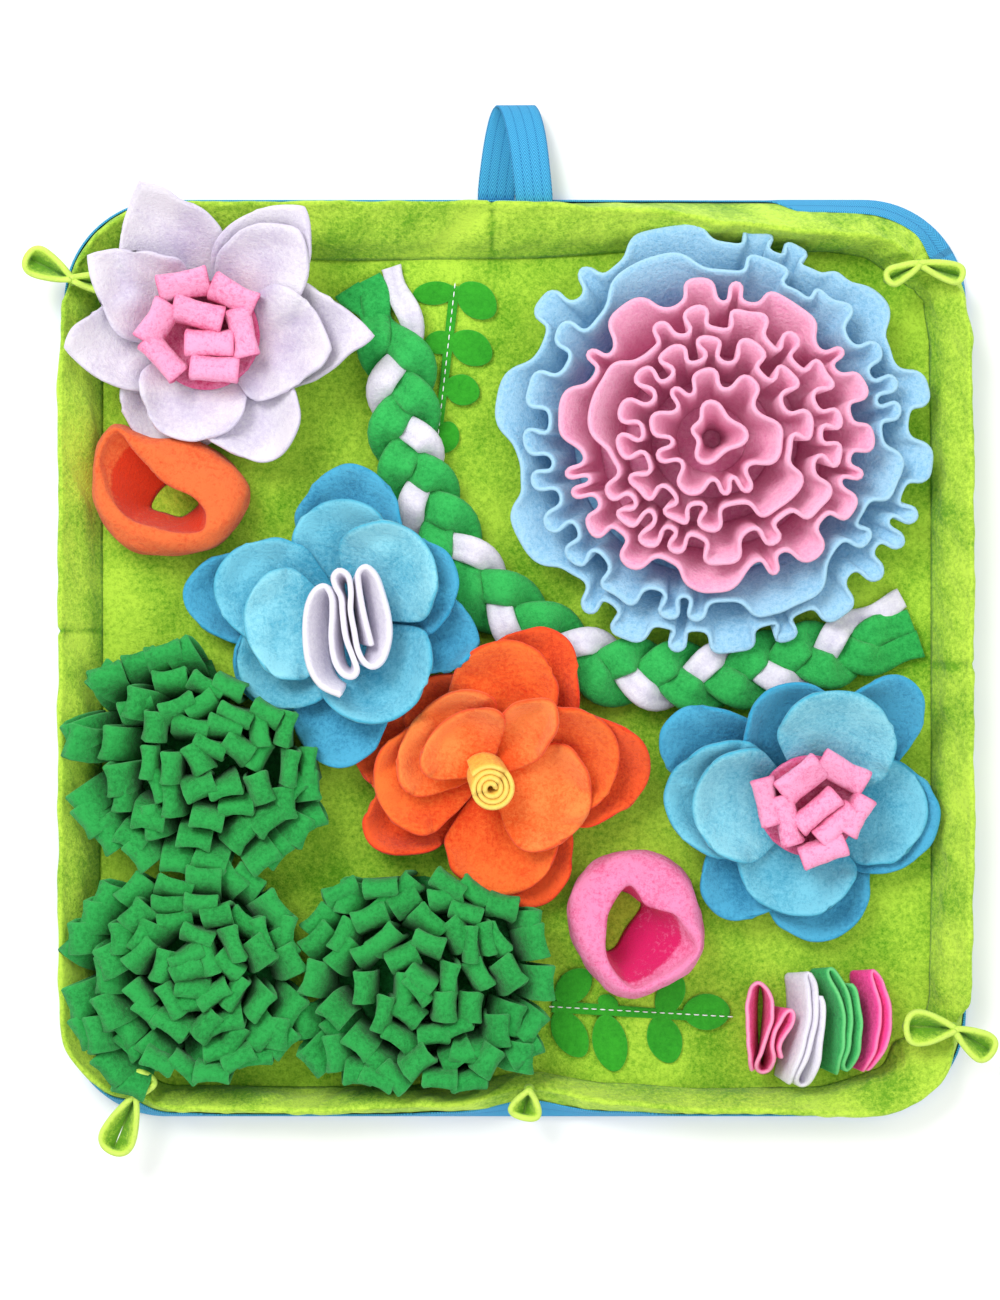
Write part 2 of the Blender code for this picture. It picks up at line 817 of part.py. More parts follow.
def ruffle_place(foot, top, folds, depth, swing, height, phase, z):
    """place(u, v) of a gathered ring: round at its foot, and folded in and out along its top edge."""

    def place(u, v):
        t = 2 * math.pi * u
        wave = folds * t + phase
        uneven = 1 + 0.2 * math.sin(2 * t + phase) + 0.12 * math.sin(3 * t + 2 * phase)
        open_up = v**0.85
        radius = foot + (top - foot) * v + depth * uneven * math.sin(wave) * open_up
        angle = t - swing * uneven * math.sin(2 * wave) * open_up / max(radius, 12)
        held = around(RUFFLE_REACH, math.degrees(angle), 1) / 123
        radius *= 1 - (1 - held) * (0.3 + 0.7 * v)
        return (
            RUFFLE_X + radius * math.cos(angle),
            RUFFLE_Y + radius * math.sin(angle),
            z + height * v * (1 - 0.10 * math.sin(wave + 0.6) * v),
        )

    return place


def ruffle(name, rows, z, radius, material):
    backing = disc(name, RUFFLE_X, RUFFLE_Y, z, radius, RUFFLE_BACKING_T, material, 24)
    rings = []
    for i, (foot, top, folds, depth, swing, height, phase, count) in enumerate(rows):
        place = ruffle_place(foot, top, folds, depth, swing, height, phase, z + 0.85)
        rings.append(cloth(f"{name}_{i}", count, 1, place, RUFFLE_T, material, wraps=True, helper=True))
    fuse(backing, rings)


# ---------------------------------------------------------------- braid

STRANDS = (("braid_green_a", 0, "grass_fleece"), ("braid_green_b", 1, "grass_fleece"), ("braid_white", 2, "white_fleece"))


def strand(name, number, material):
    """One of three flattened rolls plaited together: it swings from side to side, over one and under the next."""
    last = 6 * BRAID_WAVES
    line = route_points(BRAID_ROUTE, last + 1)
    sections = []
    for i, middle in enumerate(line):
        ahead = line[min(i + 1, last)] - line[max(i - 1, 0)]
        side = Vector((-ahead.y, ahead.x)).normalized()
        wave = 2 * math.pi * ((i + 0.5) / 6 + number / 3)
        swing, lift = BRAID_SWING * math.sin(wave), BRAID_LIFT * math.sin(2 * wave)
        section = []
        for k in range(STRAND_SIDES):
            angle = 2 * math.pi * (k + 0.5) / STRAND_SIDES
            place = middle + side * (swing + STRAND_W / 2 * math.cos(angle))
            section.append((*place, BRAID_Z + lift + STRAND_T / 2 * math.sin(angle)))
        sections.append(section)
    loft(name, sections, material)


# ---------------------------------------------------------------- tubes, tabs, leaves, grass

# angle, outer radius, rim radius, hole radius
ORANGE_TUBE = (
    (0, 42, 35, 11),
    (50, 36, 29, 8),
    (100, 34, 27, 7),
    (135, 41, 36, 13),
    (180, 38, 33, 20),
    (225, 37, 31, 12),
    (270, 32, 26, 8),
    (315, 37, 30, 13),
)
PINK_TUBE = (
    (0, 36, 30, 18),
    (45, 34, 27, 12),
    (90, 39, 31, 15),
    (135, 34, 27, 12),
    (180, 34, 27, 15),
    (225, 34, 27, 15),
    (270, 38, 31, 19),
    (315, 36, 29, 12),
)


def tube(name, x, y, rows, height, hole_shift, material):
    """A short sleeve of doubled fleece: its cloth comes up outside, turns over and goes down to a small mouth."""
    sections = []
    count = 20
    foot = BASE_T + GAP
    for i in range(count):
        angle = 360 * i / count
        outer, top, hole = (around(rows, angle, column) for column in (1, 2, 3))
        profile = (
            (outer - 5, foot),
            (outer, foot + 0.35 * height),
            (outer - 2.5, foot + 0.85 * height),
            (top - 1, foot + height),
            ((top + hole) / 2 - 2, foot + 0.62 * height),
            (hole, foot),
        )
        out = Vector((math.cos(math.radians(angle)), math.sin(math.radians(angle))))
        section = []
        for radius, z in profile:
            sink = hole_shift * max(0.0, 1 - abs(radius - hole) / (top - hole)) if radius < top else Vector((0, 0))
            section.append((*(Vector((x, y)) + out * radius + sink), z))
        sections.append(section)
    loft(name, sections, material, closed=True)


# name: x, y, turn, layers, length, height, material
TABS = {
    "tab_pink": (129.5, -197.5, 4, 4, 42, 24, "pink_fleece"),
    "tab_white": (152.0, -199.0, -6, 3, 50, 26, "white_fleece"),
    "tab_green": (173.0, -193.5, 4, 3, 48, 24, "grass_fleece"),
    "tab_hot_pink": (190.0, -193.0, 3, 2, 48, 22, "hot_pink_fleece"),
}


def tab(name, x, y, turn, layers, length, height, material):
    """A round of cloth folded back and forth and sewn down along its middle: its ends are lower than its top."""
    pitch = 4.6
    points = turned(serpentine(layers, length, pitch, 2), turn, x, y)
    low = BASE_T + GAP

    def top(_, px, py):
        away = (Vector((px, py)) - Vector((x, y))).length / (length / 2)
        return low + height * (1 - 0.45 * min(1.0, away) ** 2)

    standing_strip(name, finer(points, 17), lambda s, px, py: low, top, 1.8, material)


# a leaf: x, y, length, width, turn
SPRIGS = {
    "leaf_sprig_top": (
        ((-33, 204), (-42, 124), 5.5),
        (
            (-44, 200, 24, 13, 4),
            (-21, 196, 25, 19, -40),
            (-41, 173, 18, 13, 5),
            (-24, 170, 25, 19, -30),
            (-29, 147, 20, 17, -20),
            (-38, 121, 18, 15, 70),
        ),
    ),
    "leaf_sprig_bottom": (
        ((20, -191), (110, -197), 6.5),
        (
            (32, -180, 24, 17, 42),
            (30, -206, 29, 18, -58),
            (51, -189, 9, 12, 62),
            (52, -211, 32, 19, -78),
            (85, -185, 24, 15, 62),
            (82, -209, 27, 19, -72),
            (105, -194, 26, 20, 0),
        ),
    ),
}
LEAF_T = 1.5


def leaf_sprig(name, stem, leaves):
    """A flat felt sprig: a straight stem with round leaves."""
    (x1, y1), (x2, y2), width = stem
    z = BASE_T + GAP
    along = Vector((x2 - x1, y2 - y1))
    bm = bmesh.new()
    bmesh.ops.create_cube(bm, size=1.0)
    for vert in bm.verts:
        middle = Vector(((x1 + x2) / 2, (y1 + y2) / 2))
        across = Vector((-along.y, along.x)).normalized() * width
        place = middle + along * vert.co.x + across * vert.co.y
        vert.co = Vector((place.x, place.y, z + LEAF_T * (vert.co.z + 0.5))) * MM
    body = mesh_object(name, bm, "leaf_felt")
    pieces = []
    for i, (x, y, length, leaf_width, turn) in enumerate(leaves):
        bm = bmesh.new()
        bmesh.ops.create_cone(bm, cap_ends=True, segments=12, radius1=0.5, radius2=0.5, depth=1.0)
        angle = math.radians(turn)
        for vert in bm.verts:
            a, b = vert.co.x * length, vert.co.y * leaf_width
            vert.co = Vector((
                x + a * math.cos(angle) - b * math.sin(angle),
                y + a * math.sin(angle) + b * math.cos(angle),
                z + LEAF_T * (vert.co.z * 0.998 + 0.5),
            )) * MM
        pieces.append(mesh_object(f"{name}_{i}", bm, "leaf_felt", helper=True))
    fuse(body, pieces)


# name: x, y, half width, half depth, backing points
CLUMPS = {
    "grass_upper_left": (-165.5, -53.0, 60, 53, 0.0),
    "grass_lower_left": (-175.5, -171.0, 51, 51, 0.5),
    "grass_lower_middle": (-49.0, -172.0, 57, 53, 0.2),
}
# loops stay this far from the middle of a flower beside the clump
KEEP_OFF = (("blue_left", 84), ("orange", 88))
# share of the clump's reach, loops in the ring, lean outwards, height
GRASS_RINGS = ((0.0, 1, 1.0, 27), (0.36, 5, 2.5, 28), (0.70, 7, 4.0, 29), (1.0, 10, 7.0, 30))
GRASS_STRIP = 18.0
# beside the rim the loops are taller and lean over it
BESIDE_RIM = (-203, -207)


def near_flower(x, y, extra=0.0):
    return any(
        math.hypot(x - FLOWERS[flower][0], y - FLOWERS[flower][1]) < keep + extra for flower, keep in KEEP_OFF
    )


def grass(name, x, y, half_x, half_y, phase):
    """A clump of strip loops in rings on a backing. The outer ones lean out."""
    z = BASE_T + GAP
    rim_points = []
    for i in range(16):
        t = 2 * math.pi * i / 16
        reach = 1.0
        while near_flower(x + half_x * reach * math.cos(t), y + half_y * reach * math.sin(t), -7) and reach > 0.1:
            reach -= 0.04
        px, py = x + half_x * reach * math.cos(t), y + half_y * reach * math.sin(t)
        rim_points.append((px, py))
    backing = loft(name, [[(px, py, z) for px, py in rim_points], [(px, py, z + 1.4) for px, py in rim_points]],
                   "grass_fleece")
    loops = []
    for ring, (share, count, lean, height) in enumerate(GRASS_RINGS):
        for i in range(count):
            t = 2 * math.pi * (i + phase + 0.37 * ring) / count
            wobble = math.sin(5.1 * i + 2.3 * ring + 7 * phase)
            px, py = x + (half_x - 9) * share * math.cos(t), y + (half_y - 9) * share * math.sin(t)
            if near_flower(px, py):
                continue
            direction = math.degrees(math.atan2(py - y, px - x)) + 7 * wobble
            over_rim = 6.0 if px < BESIDE_RIM[0] or py < BESIDE_RIM[1] else 0.0
            loops.append(
                arch_place(
                    px, py, lambda _, __: z + 0.7, direction, GRASS_STRIP, 9.0,
                    height + 1.5 * wobble + 0.5 * over_rim, lean + over_rim,
                )
            )
    loops_on(name, backing, loops, "grass_fleece")
    return len(loops)


# ---------------------------------------------------------------- the mat


def build():
    base_panel()
    for name, rows in RIM_ROWS.items():
        rim(name, rows)
    edge_tape()
    for name, row in BOWS.items():
        bow(name, *row)
    handle_tape()
    for name, number, material in STRANDS:
        strand(name, number, material)
    for flower, label, rows in WHORLS:
        whorl(flower, label, rows)
    loop_centre("lotus", 29, LOTUS_LOOPS, "pink_fleece")
    loop_centre("blue_right", 27, BLUE_RIGHT_LOOPS, "pink_fleece")
    white_ribbon()
    yellow_roll()
    ruffle("ruffle_blue", RUFFLES["ruffle_blue"], BASE_T + GAP, 92, "pale_blue_fleece")
    pink_z = BASE_T + GAP + RUFFLE_BACKING_T + GAP
    ruffle("ruffle_pink", RUFFLES["ruffle_pink"], pink_z, 67, "pink_fleece")
    tube("tube_orange", -183.5, 89.0, ORANGE_TUBE, 26, Vector((2, -3)), "orange_fleece")
    tube("tube_pink", 64.6, -144.0, PINK_TUBE, 30, Vector((0, 0)), "hot_pink_fleece")
    for name, row in TABS.items():
        tab(name, *row)
    for name, (stem, leaves) in SPRIGS.items():
        leaf_sprig(name, stem, leaves)
    for name, row in CLUMPS.items():
        grass(name, *row)


build()
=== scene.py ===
import math

import bmesh
import bpy
import numpy as np
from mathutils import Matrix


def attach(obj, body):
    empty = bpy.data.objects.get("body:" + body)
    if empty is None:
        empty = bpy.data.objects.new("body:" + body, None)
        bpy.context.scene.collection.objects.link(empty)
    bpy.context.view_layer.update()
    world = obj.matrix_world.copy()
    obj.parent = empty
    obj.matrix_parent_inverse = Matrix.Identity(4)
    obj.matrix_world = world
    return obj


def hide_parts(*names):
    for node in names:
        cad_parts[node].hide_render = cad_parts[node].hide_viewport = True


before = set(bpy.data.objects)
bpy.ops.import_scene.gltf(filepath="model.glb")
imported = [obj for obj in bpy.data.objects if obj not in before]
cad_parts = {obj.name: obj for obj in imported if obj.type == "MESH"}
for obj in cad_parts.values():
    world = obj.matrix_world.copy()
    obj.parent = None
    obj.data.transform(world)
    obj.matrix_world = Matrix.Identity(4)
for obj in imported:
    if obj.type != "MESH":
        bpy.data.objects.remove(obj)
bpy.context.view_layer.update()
mm = 0.001


def linearColour(code):
    parts = [int(code[i : i + 2], 16) / 255 for i in (0, 2, 4)]
    return tuple(p / 12.92 if p <= 0.04045 else ((p + 0.055) / 1.055) ** 2.4 for p in parts) + (1.0,)


class Wire:
    # a socket that Python's arithmetic works on
    def __init__(self, cloth, socket):
        self.cloth, self.socket = cloth, socket

    def out(self, index):
        return Wire(self.cloth, self.socket.node.outputs[index])

    def __add__(self, other):
        return self.cloth.maths("ADD", self, other)

    def __sub__(self, other):
        return self.cloth.maths("SUBTRACT", self, other)

    def __rsub__(self, other):
        return self.cloth.maths("SUBTRACT", other, self)

    def __mul__(self, other):
        return self.cloth.maths("MULTIPLY", self, other)

    __radd__, __rmul__ = __add__, __mul__

    def between(self, low, high):
        return self.cloth.node(
            "ShaderNodeMapRange", {"clamp": True}, {"Value": self, "From Min": low, "From Max": high}
        )


class Cloth:
    # a material and its nodes
    def __init__(self, name):
        self.material = bpy.data.materials.new(name)
        self.material.use_nodes = True
        self.tree = self.material.node_tree
        self.shader = self.tree.nodes["Principled BSDF"]

    def node(self, kind, settings=None, sockets=None, output=0):
        made = self.tree.nodes.new(kind)
        for key, value in (settings or {}).items():
            setattr(made, key, value)
        for key, value in (sockets or {}).items():
            self.feed(made.inputs[key], value)
        return Wire(self, made.outputs[output])

    def feed(self, socket, value):
        if isinstance(value, Wire):
            self.tree.links.new(value.socket, socket)
        else:
            socket.default_value = value

    def maths(self, operation, first, second):
        return self.node("ShaderNodeMath", {"operation": operation}, {0: first, 1: second})

    def mixed(self, share, first, second):
        return self.node("ShaderNodeMix", {"data_type": "RGBA"}, {0: share, 6: first, 7: second}, 2)

    def noise(self, scale, detail=2.0, rough=0.5):
        where = self.node("ShaderNodeTexCoord", output=3)
        return self.node(
            "ShaderNodeTexNoise", None, {"Vector": where, "Scale": scale, "Detail": detail, "Roughness": rough}
        )

    def attribute(self, name, output=2):
        return self.node("ShaderNodeAttribute", {"attribute_name": name}, output=output)

    def finish(self, colour, height, depth, strength, **constants):
        bump = self.node("ShaderNodeBump", None, {"Height": height, "Distance": depth, "Strength": strength})
        self.feed(self.shader.inputs["Base Color"], colour)
        self.feed(self.shader.inputs["Normal"], bump)
        for key, value in constants.items():
            self.shader.inputs[key.replace("_", " ")].default_value = value
        return self.material


# brushed pile: fine tufts, rubbed patches, and a cut edge with its own tint; each piece's tone attribute adds painted
# shade and light
def fleece(name, base, deep, edge, pile=1.0):
    cloth = Cloth(name)
    tufts = cloth.noise(1150, 3, 0.65)
    clumps = cloth.noise(430, 2, 0.6)
    patches = cloth.noise(46, 2, 0.5)
    nap = tufts * 0.45 + clumps * 0.55
    # painted shade and light: the tone attribute pulls the colour towards the shade colour where a piece is meant to
    # lie in shade
    tone = cloth.attribute("tone") * 0.55 + nap * 2.5 * pile + patches * 0.7 - 1.25 * pile + 0.28
    colour = cloth.mixed(tone.between(0.1, 1.0), linearColour(deep), linearColour(base))
    colour = cloth.mixed(cloth.attribute("edge").between(0.3, 0.95) * 0.75, colour, linearColour(edge))
    return cloth.finish(
        colour, nap, 0.0016 * pile, 0.8, Roughness=0.95, Sheen_Weight=0.12, Sheen_Roughness=0.6,
        Specular_IOR_Level=0.15,
    )


# cotton tape in a herringbone weave, on the piece's own along and across
def herringbone(name, base, deep, band=0.0025, ribs=5200.0):
    cloth = Cloth(name)
    along = cloth.node("ShaderNodeSeparateXYZ", None, {0: cloth.attribute("weave", 1)})
    zigzag = cloth.maths("PINGPONG", along.out(1) + 0.02, band)
    ridges = cloth.maths("SINE", (along + zigzag * 1.1) * ribs, 0.0) * 0.5 + 0.5
    fibres = cloth.noise(1800, 2, 0.6)
    tone = ridges * 0.8 + fibres * 0.4 + zigzag.between(0.0, 0.0006) * 0.3 + cloth.attribute("tone") * 0.6 - 0.1
    colour = cloth.mixed(tone.between(0.25, 1.15), linearColour(deep), linearColour(base))
    return cloth.finish(
        colour, ridges * 0.75 + fibres * 0.25, 0.0004, 0.6, Roughness=0.85, Sheen_Weight=0.08,
        Specular_IOR_Level=0.25,
    )


# base colour, painted shade colour for hollows and folds (also the pile's darker tufts), cut edge colour
cloths = {
    "lime": fleece("lime_fleece", "B2DA40", "5C9A12", "C2E456"),
    # the rim is the base's lime fleece painted a little lighter, as lit, with a darker painted shade colour for the
    # bows' hollows
    "limeRim": fleece("lime_rim_fleece", "BEE248", "659E18", "D2EC6E"),
    "grass": fleece("grass_loop_fleece", "28A048", "0A6A26", "34AC52"),
    "plait": fleece("plait_fleece", "34B656", "15893A", "4CC566"),
    "white": fleece("white_petal_fleece", "DFDAE3", "B9AECB", "D3CADF", 0.7),
    "ribbon": fleece("white_ribbon_fleece", "E6E2EC", "C4BDD4", "E2DEE8", 0.7),
    "pinkLoop": fleece("pink_loop_fleece", "F6A2C8", "D8447E", "D94C82"),
    "paleBlue": fleece("light_blue_petal_fleece", "8CD2E2", "4BA6C2", "22A4C6"),
    "midBlue": fleece("middle_blue_petal_fleece", "74C4DA", "3A98B8", "1FA0C4"),
    "deepBlue": fleece("deep_blue_petal_fleece", "4CA8CC", "2277A0", "229CC8"),
    "orange": fleece("orange_fleece", "F4722E", "DA3E0C", "E8300C"),
    "redOrange": fleece("red_orange_fleece", "F05C26", "C42C0C", "EE2E0C"),
    "lightOrange": fleece("light_orange_fleece", "FC8A44", "E85618", "EE3E14"),
    "yellow": fleece("yellow_roll_fleece", "F4CC50", "E09C22", "FADD76"),
    "ruffleBlue": fleece("ruffle_blue_fleece", "A2CEE8", "66A8D0", "AAD4EC"),
    "rufflePink": fleece("ruffle_pink_fleece", "F6B4D0", "E884B4", "F2AECA"),
    "hotPink": fleece("hot_pink_fleece", "FF4AA2", "D4166C", "FF9CC6"),
    "tabPink": fleece("pink_tab_fleece", "F2559C", "C81450", "F8B4CE"),
    "tubeOrange": fleece("orange_tube_fleece", "E86E38", "D2340C", "F04A18"),
    "tubePink": fleece("pink_tube_fleece", "EC88B4", "D41864", "F0246A"),
    "sprig": fleece("leaf_sprig_felt", "36A826", "1A7A14", "44B634", 0.6),
    "tabGreen": fleece("green_tab_fleece", "38B25E", "12803C", "7EDC8A"),
    "tape": herringbone("blue_tape_weave", "4CB2E0", "14649C"),
    "thread": fleece("white_thread", "FFFFFF", "DCDCE4", "FFFFFF", 0.3),
}


def unit(vectors):
    return vectors / np.maximum(np.linalg.norm(vectors, axis=-1, keepdims=True), 1e-9)


# length from the first point of a line to each of its points
def runOf(line):
    return np.concatenate([[0], np.cumsum(np.linalg.norm(np.diff(line, axis=0), axis=1))])


def allRound(count):
    return np.linspace(0, 2 * math.pi, count, endpoint=False)


def raised(xy, z):
    return np.concatenate([xy, z[..., None]], -1)


# a place so far ahead and so far aside of x, y, looking along a turn
def turned(x, y, turn, ahead, aside):
    return (
        x + ahead * math.cos(turn) - aside * math.sin(turn),
        y + ahead * math.sin(turn) + aside * math.cos(turn),
    )


# sections from corners, each an outward distance and a height for every place along a line
def profiles(*corners):
    return np.stack([np.stack(corner, 1) for corner in corners], 1)


# faces of a grid whose point (i, j) has the number i * columns + j
def gridFaces(rows, columns, wrapRows=False):
    i = np.arange(rows if wrapRows else rows - 1)[:, None]
    j = np.arange(columns - 1)[None, :]
    near, far = i * columns, ((i + 1) % rows) * columns
    return np.stack([near + j, far + j, far + j + 1, near + j + 1], axis=-1).reshape(-1, 4)


def gridNormals(points, wrapRows=False):
    if wrapRows:
        along = np.roll(points, -1, axis=0) - np.roll(points, 1, axis=0)
    else:
        along = np.gradient(points, axis=0)
    return unit(np.cross(along, np.gradient(points, axis=1)))


class Stack:
    # points, faces and values gathered for one mesh
    def __init__(self):
        self.points, self.faces, self.tone, self.edge, self.weave, self.count = [], [], [], [], [], 0

    def add(self, points, faces, tone=0.0, edge=0.0, weave=None):
        points = np.asarray(points, float).reshape(-1, 3)
        self.points.append(points)
        self.faces += [tuple(int(k) + self.count for k in face) for face in faces]
        self.tone.append(np.broadcast_to(np.asarray(tone, float).reshape(-1), (len(points),)))
        self.edge.append(np.broadcast_to(np.asarray(edge, float).reshape(-1), (len(points),)))
        self.weave.append(np.zeros((len(points), 3)) if weave is None else np.asarray(weave).reshape(-1, 3))
        self.count += len(points)

    # cloth of some thickness about a grid of points, its cut edges rounded
    def sheet(self, middle, thickness, wrapRows=False, tone=0.0, weave=None, rounding=0.55):
        rows, columns = middle.shape[:2]
        size, half = rows * columns, thickness / 2
        normals = gridNormals(middle, wrapRows) * half
        cells = gridFaces(rows, columns, wrapRows)
        left = [i * columns for i in range(rows)]
        if wrapRows:
            edges = [left, [i + columns - 1 for i in left][::-1]]
        else:
            far = [(rows - 1) * columns + j for j in range(1, columns)]
            right = [i + columns - 1 for i in left[-2::-1]]
            edges = [left + far + right + list(range(columns - 2, 0, -1))]
        flat = middle.reshape(-1, 3)
        rim, rimFaces, start = [], [], 2 * size
        border = np.zeros(size)
        for loop in edges:
            ring = np.array(loop)
            row, column = ring // columns, np.clip(ring % columns, 1, columns - 2)
            if not wrapRows:
                row = np.clip(row, 1, rows - 2)
            rim.append(flat[ring] + unit(flat[ring] - flat[row * columns + column]) * half * rounding)
            border[ring] = rounding
            for k in range(len(ring)):
                a, b = k, (k + 1) % len(ring)
                rimFaces.append((ring[a], ring[b], start + b, start + a))
                rimFaces.append((start + a, start + b, size + ring[b], size + ring[a]))
            start += len(ring)
        tone = np.broadcast_to(np.asarray(tone, float), (rows, columns)).reshape(-1)
        rimTone = np.concatenate([tone[loop] for loop in edges])
        if weave is not None:
            weave = weave.reshape(-1, 3)
            weave = np.concatenate([weave, weave] + [weave[loop] for loop in edges])
        self.add(
            np.concatenate([(middle + normals).reshape(-1, 3), (middle - normals).reshape(-1, 3)] + rim),
            [tuple(f) for f in cells] + [tuple(f[::-1] + size) for f in cells] + rimFaces,
            np.concatenate([tone, tone, rimTone]), np.concatenate([border, border, np.ones(len(rimTone))]), weave,
        )

    # a solid through closed sections of as many points each: (sections, points, 3)
    def tube(self, sections, closed=False, tone=0.0, edge=0.0, weave=None):
        count, sides = sections.shape[:2]
        faces = []
        for i in range(count if closed else count - 1):
            a, b = i * sides, ((i + 1) % count) * sides
            faces += [(a + k, a + (k + 1) % sides, b + (k + 1) % sides, b + k) for k in range(sides)]
        if not closed:
            faces += [tuple(range(sides))[::-1], tuple((count - 1) * sides + k for k in range(sides))]
        self.add(
            sections, faces, np.broadcast_to(np.asarray(tone, float), (count, sides)),
            np.broadcast_to(np.asarray(edge, float), (count, sides)), weave,
        )

    def mesh(self, name, cloth=None):
        mesh = bpy.data.meshes.new(name)
        mesh.from_pydata((np.concatenate(self.points) * mm).tolist(), [], self.faces)
        # tone carries painted shade and light for the fleece shader; edge marks the cut edges
        for key, rows in (("tone", self.tone), ("edge", self.edge)):
            layer = mesh.attributes.new(key, "FLOAT", "POINT")
            layer.data.foreach_set("value", np.concatenate(rows).astype(np.float32))
        layer = mesh.attributes.new("weave", "FLOAT_VECTOR", "POINT")
        layer.data.foreach_set("vector", (np.concatenate(self.weave) * mm).astype(np.float32).ravel())
        mesh.polygons.foreach_set("use_smooth", [True] * len(mesh.polygons))
        shaped = bmesh.new()
        shaped.from_mesh(mesh)
        bmesh.ops.recalc_face_normals(shaped, faces=shaped.faces)
        shaped.to_mesh(mesh)
        shaped.free()
        if cloth:
            mesh.materials.append(cloths[cloth])
        return mesh

    def piece(self, name, cloth, nodes=()):
        return placePiece(bpy.data.objects.new(name, self.mesh(name, cloth)), nodes)


def placePiece(obj, nodes=()):
    if obj.name not in bpy.context.scene.collection.objects:
        bpy.context.scene.collection.objects.link(obj)
    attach(obj, "root")
    if nodes:
        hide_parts(*nodes)
    return obj


# works out how much a piece of cloth's cut size would grow for its area, that of one face of the cloth, and keeps
# nothing
def declareSheet(obj, width, length, rests):
    area = sum(face.area for face in obj.data.polygons) / 2
    full = width * length * mm * mm
    grow = max(1.0, math.sqrt(area / full) * 1.005)
    width * mm * grow
    length * mm * grow


def smooth(t):
    t = np.clip(t, 0.0, 1.0)
    return t * t * (3 - 2 * t)


# a column's value at places along a table whose first column holds the places in order
def fromTable(rows, at, column):
    places = np.array([row[0] for row in rows], float)
    values = np.array([row[column] for row in rows], float)
    k = np.clip(np.searchsorted(places, at) - 1, 0, len(rows) - 2)
    return values[k] + (values[k + 1] - values[k]) * smooth((at - places[k]) / (places[k + 1] - places[k]))


def aroundTable(rows, angle, column):
    turned = [(rows[-1][0] - 360, *rows[-1][1:]), *rows, (rows[0][0] + 360, *rows[0][1:])]
    return fromTable(turned, np.mod(angle, 360), column)


# points evenly spaced in length along a smooth curve through some points
def curveThrough(points, count, closed=False):
    points = np.array(points, float)
    n = len(points)
    spans = n if closed else n - 1
    t = np.linspace(0, spans, spans * 24 + 1)
    k = np.minimum(t.astype(int), spans - 1)
    f = (t - k)[:, None]
    take = (lambda i: points[i % n]) if closed else (lambda i: points[np.clip(i, 0, n - 1)])
    p0, p1, p2, p3 = take(k - 1), take(k), take(k + 1), take(k + 2)
    fine = 0.5 * (
        2 * p1 + (p2 - p0) * f + (2 * p0 - 5 * p1 + 4 * p2 - p3) * f**2 + (3 * p1 - p0 - 3 * p2 + p3) * f**3
    )
    run = runOf(fine)
    places = np.linspace(0, run[-1], count, endpoint=not closed)
    return np.stack([np.interp(places, run, fine[:, c]) for c in range(points.shape[1])], axis=1)


def sidesOf(path):
    ahead = np.gradient(path, axis=0)
    return unit(np.stack([-ahead[:, 1], ahead[:, 0]], axis=1))


class Waves:
    # smooth unevenness: a few seeded waves added up, from about -1 to 1
    def __init__(self, seed, longest, shortest, count=7):
        chance = np.random.default_rng(seed)
        lengths = np.geomspace(longest, shortest, count)
        turns = chance.uniform(0, 2 * math.pi, count)
        self.x, self.y = np.cos(turns) * 2 * math.pi / lengths, np.sin(turns) * 2 * math.pi / lengths
        self.phase = chance.uniform(0, 2 * math.pi, count)
        self.size = (lengths / longest) ** 0.6
        self.size /= self.size.sum() * 0.7

    def at(self, x, y):
        x, y = np.asarray(x, float)[..., None], np.asarray(y, float)[..., None]
        return (np.sin(x * self.x + y * self.y + self.phase) * self.size).sum(-1)


class Lay:
    # height of everything laid so far, on a millimetre grid seen from above
    def __init__(self, low=-300, deep=640, wide=620, height=4.1):
        self.low, self.deep, self.wide = low, deep, wide
        self.z = np.full((deep, wide), height)

    def places(self, x, y):
        return np.clip(x - self.low, 0, self.wide - 1.01), np.clip(y - self.low, 0, self.deep - 1.01)

    # a field between its points; rows, columns are whole numbers and s, t the shares past them
    def mixedAt(self, field, rows, columns, s, t):
        return (
            field[rows, columns] * (1 - s) * (1 - t) + field[rows, columns + 1] * s * (1 - t)
            + field[rows + 1, columns] * (1 - s) * t + field[rows + 1, columns + 1] * s * t
        )

    def at(self, x, y, field=None):
        u, v = self.places(np.asarray(x, float), np.asarray(y, float))
        i, j = u.astype(int), v.astype(int)
        return self.mixedAt(self.z if field is None else field, j, i, u - i, v - j)

    def cover(self, grid, thickness=0.0, fine=4):
        rows, columns = grid.shape[:2]
        i, j = np.linspace(0, rows - 1, (rows - 1) * fine + 1), np.linspace(0, columns - 1, (columns - 1) * fine + 1)
        a, b = np.minimum(i.astype(int), rows - 2), np.minimum(j.astype(int), columns - 2)
        s, t = (i - a)[:, None, None], (j - b)[None, :, None]
        p = self.mixedAt(grid.swapaxes(0, 1), b[None, :], a[:, None], s, t).reshape(-1, 3)
        for du in (-0.5, 0.5):
            for dv in (-0.5, 0.5):
                u, v = self.places(p[:, 0] + du, p[:, 1] + dv)
                np.maximum.at(self.z, (np.round(v).astype(int), np.round(u).astype(int)), p[:, 2] + thickness / 2)

    # cloth bridges over what it lies on: the lay widened, then smoothed
    def softened(self, reach, blur):
        wide = self.z
        for axis in (0, 1):
            base = wide
            for step in range(1, reach + 1):
                wide = np.maximum(wide, np.maximum(np.roll(base, step, axis), np.roll(base, -step, axis)))
        weights = np.exp(-0.5 * (np.arange(-2 * blur, 2 * blur + 1) / blur) ** 2)
        weights /= weights.sum()
        for axis in (0, 1):
            base, wide = wide, 0
            for k, weight in zip(range(-2 * blur, 2 * blur + 1), weights):
                wide = wide + np.roll(base, k, axis) * weight
        return wide


lay = Lay()


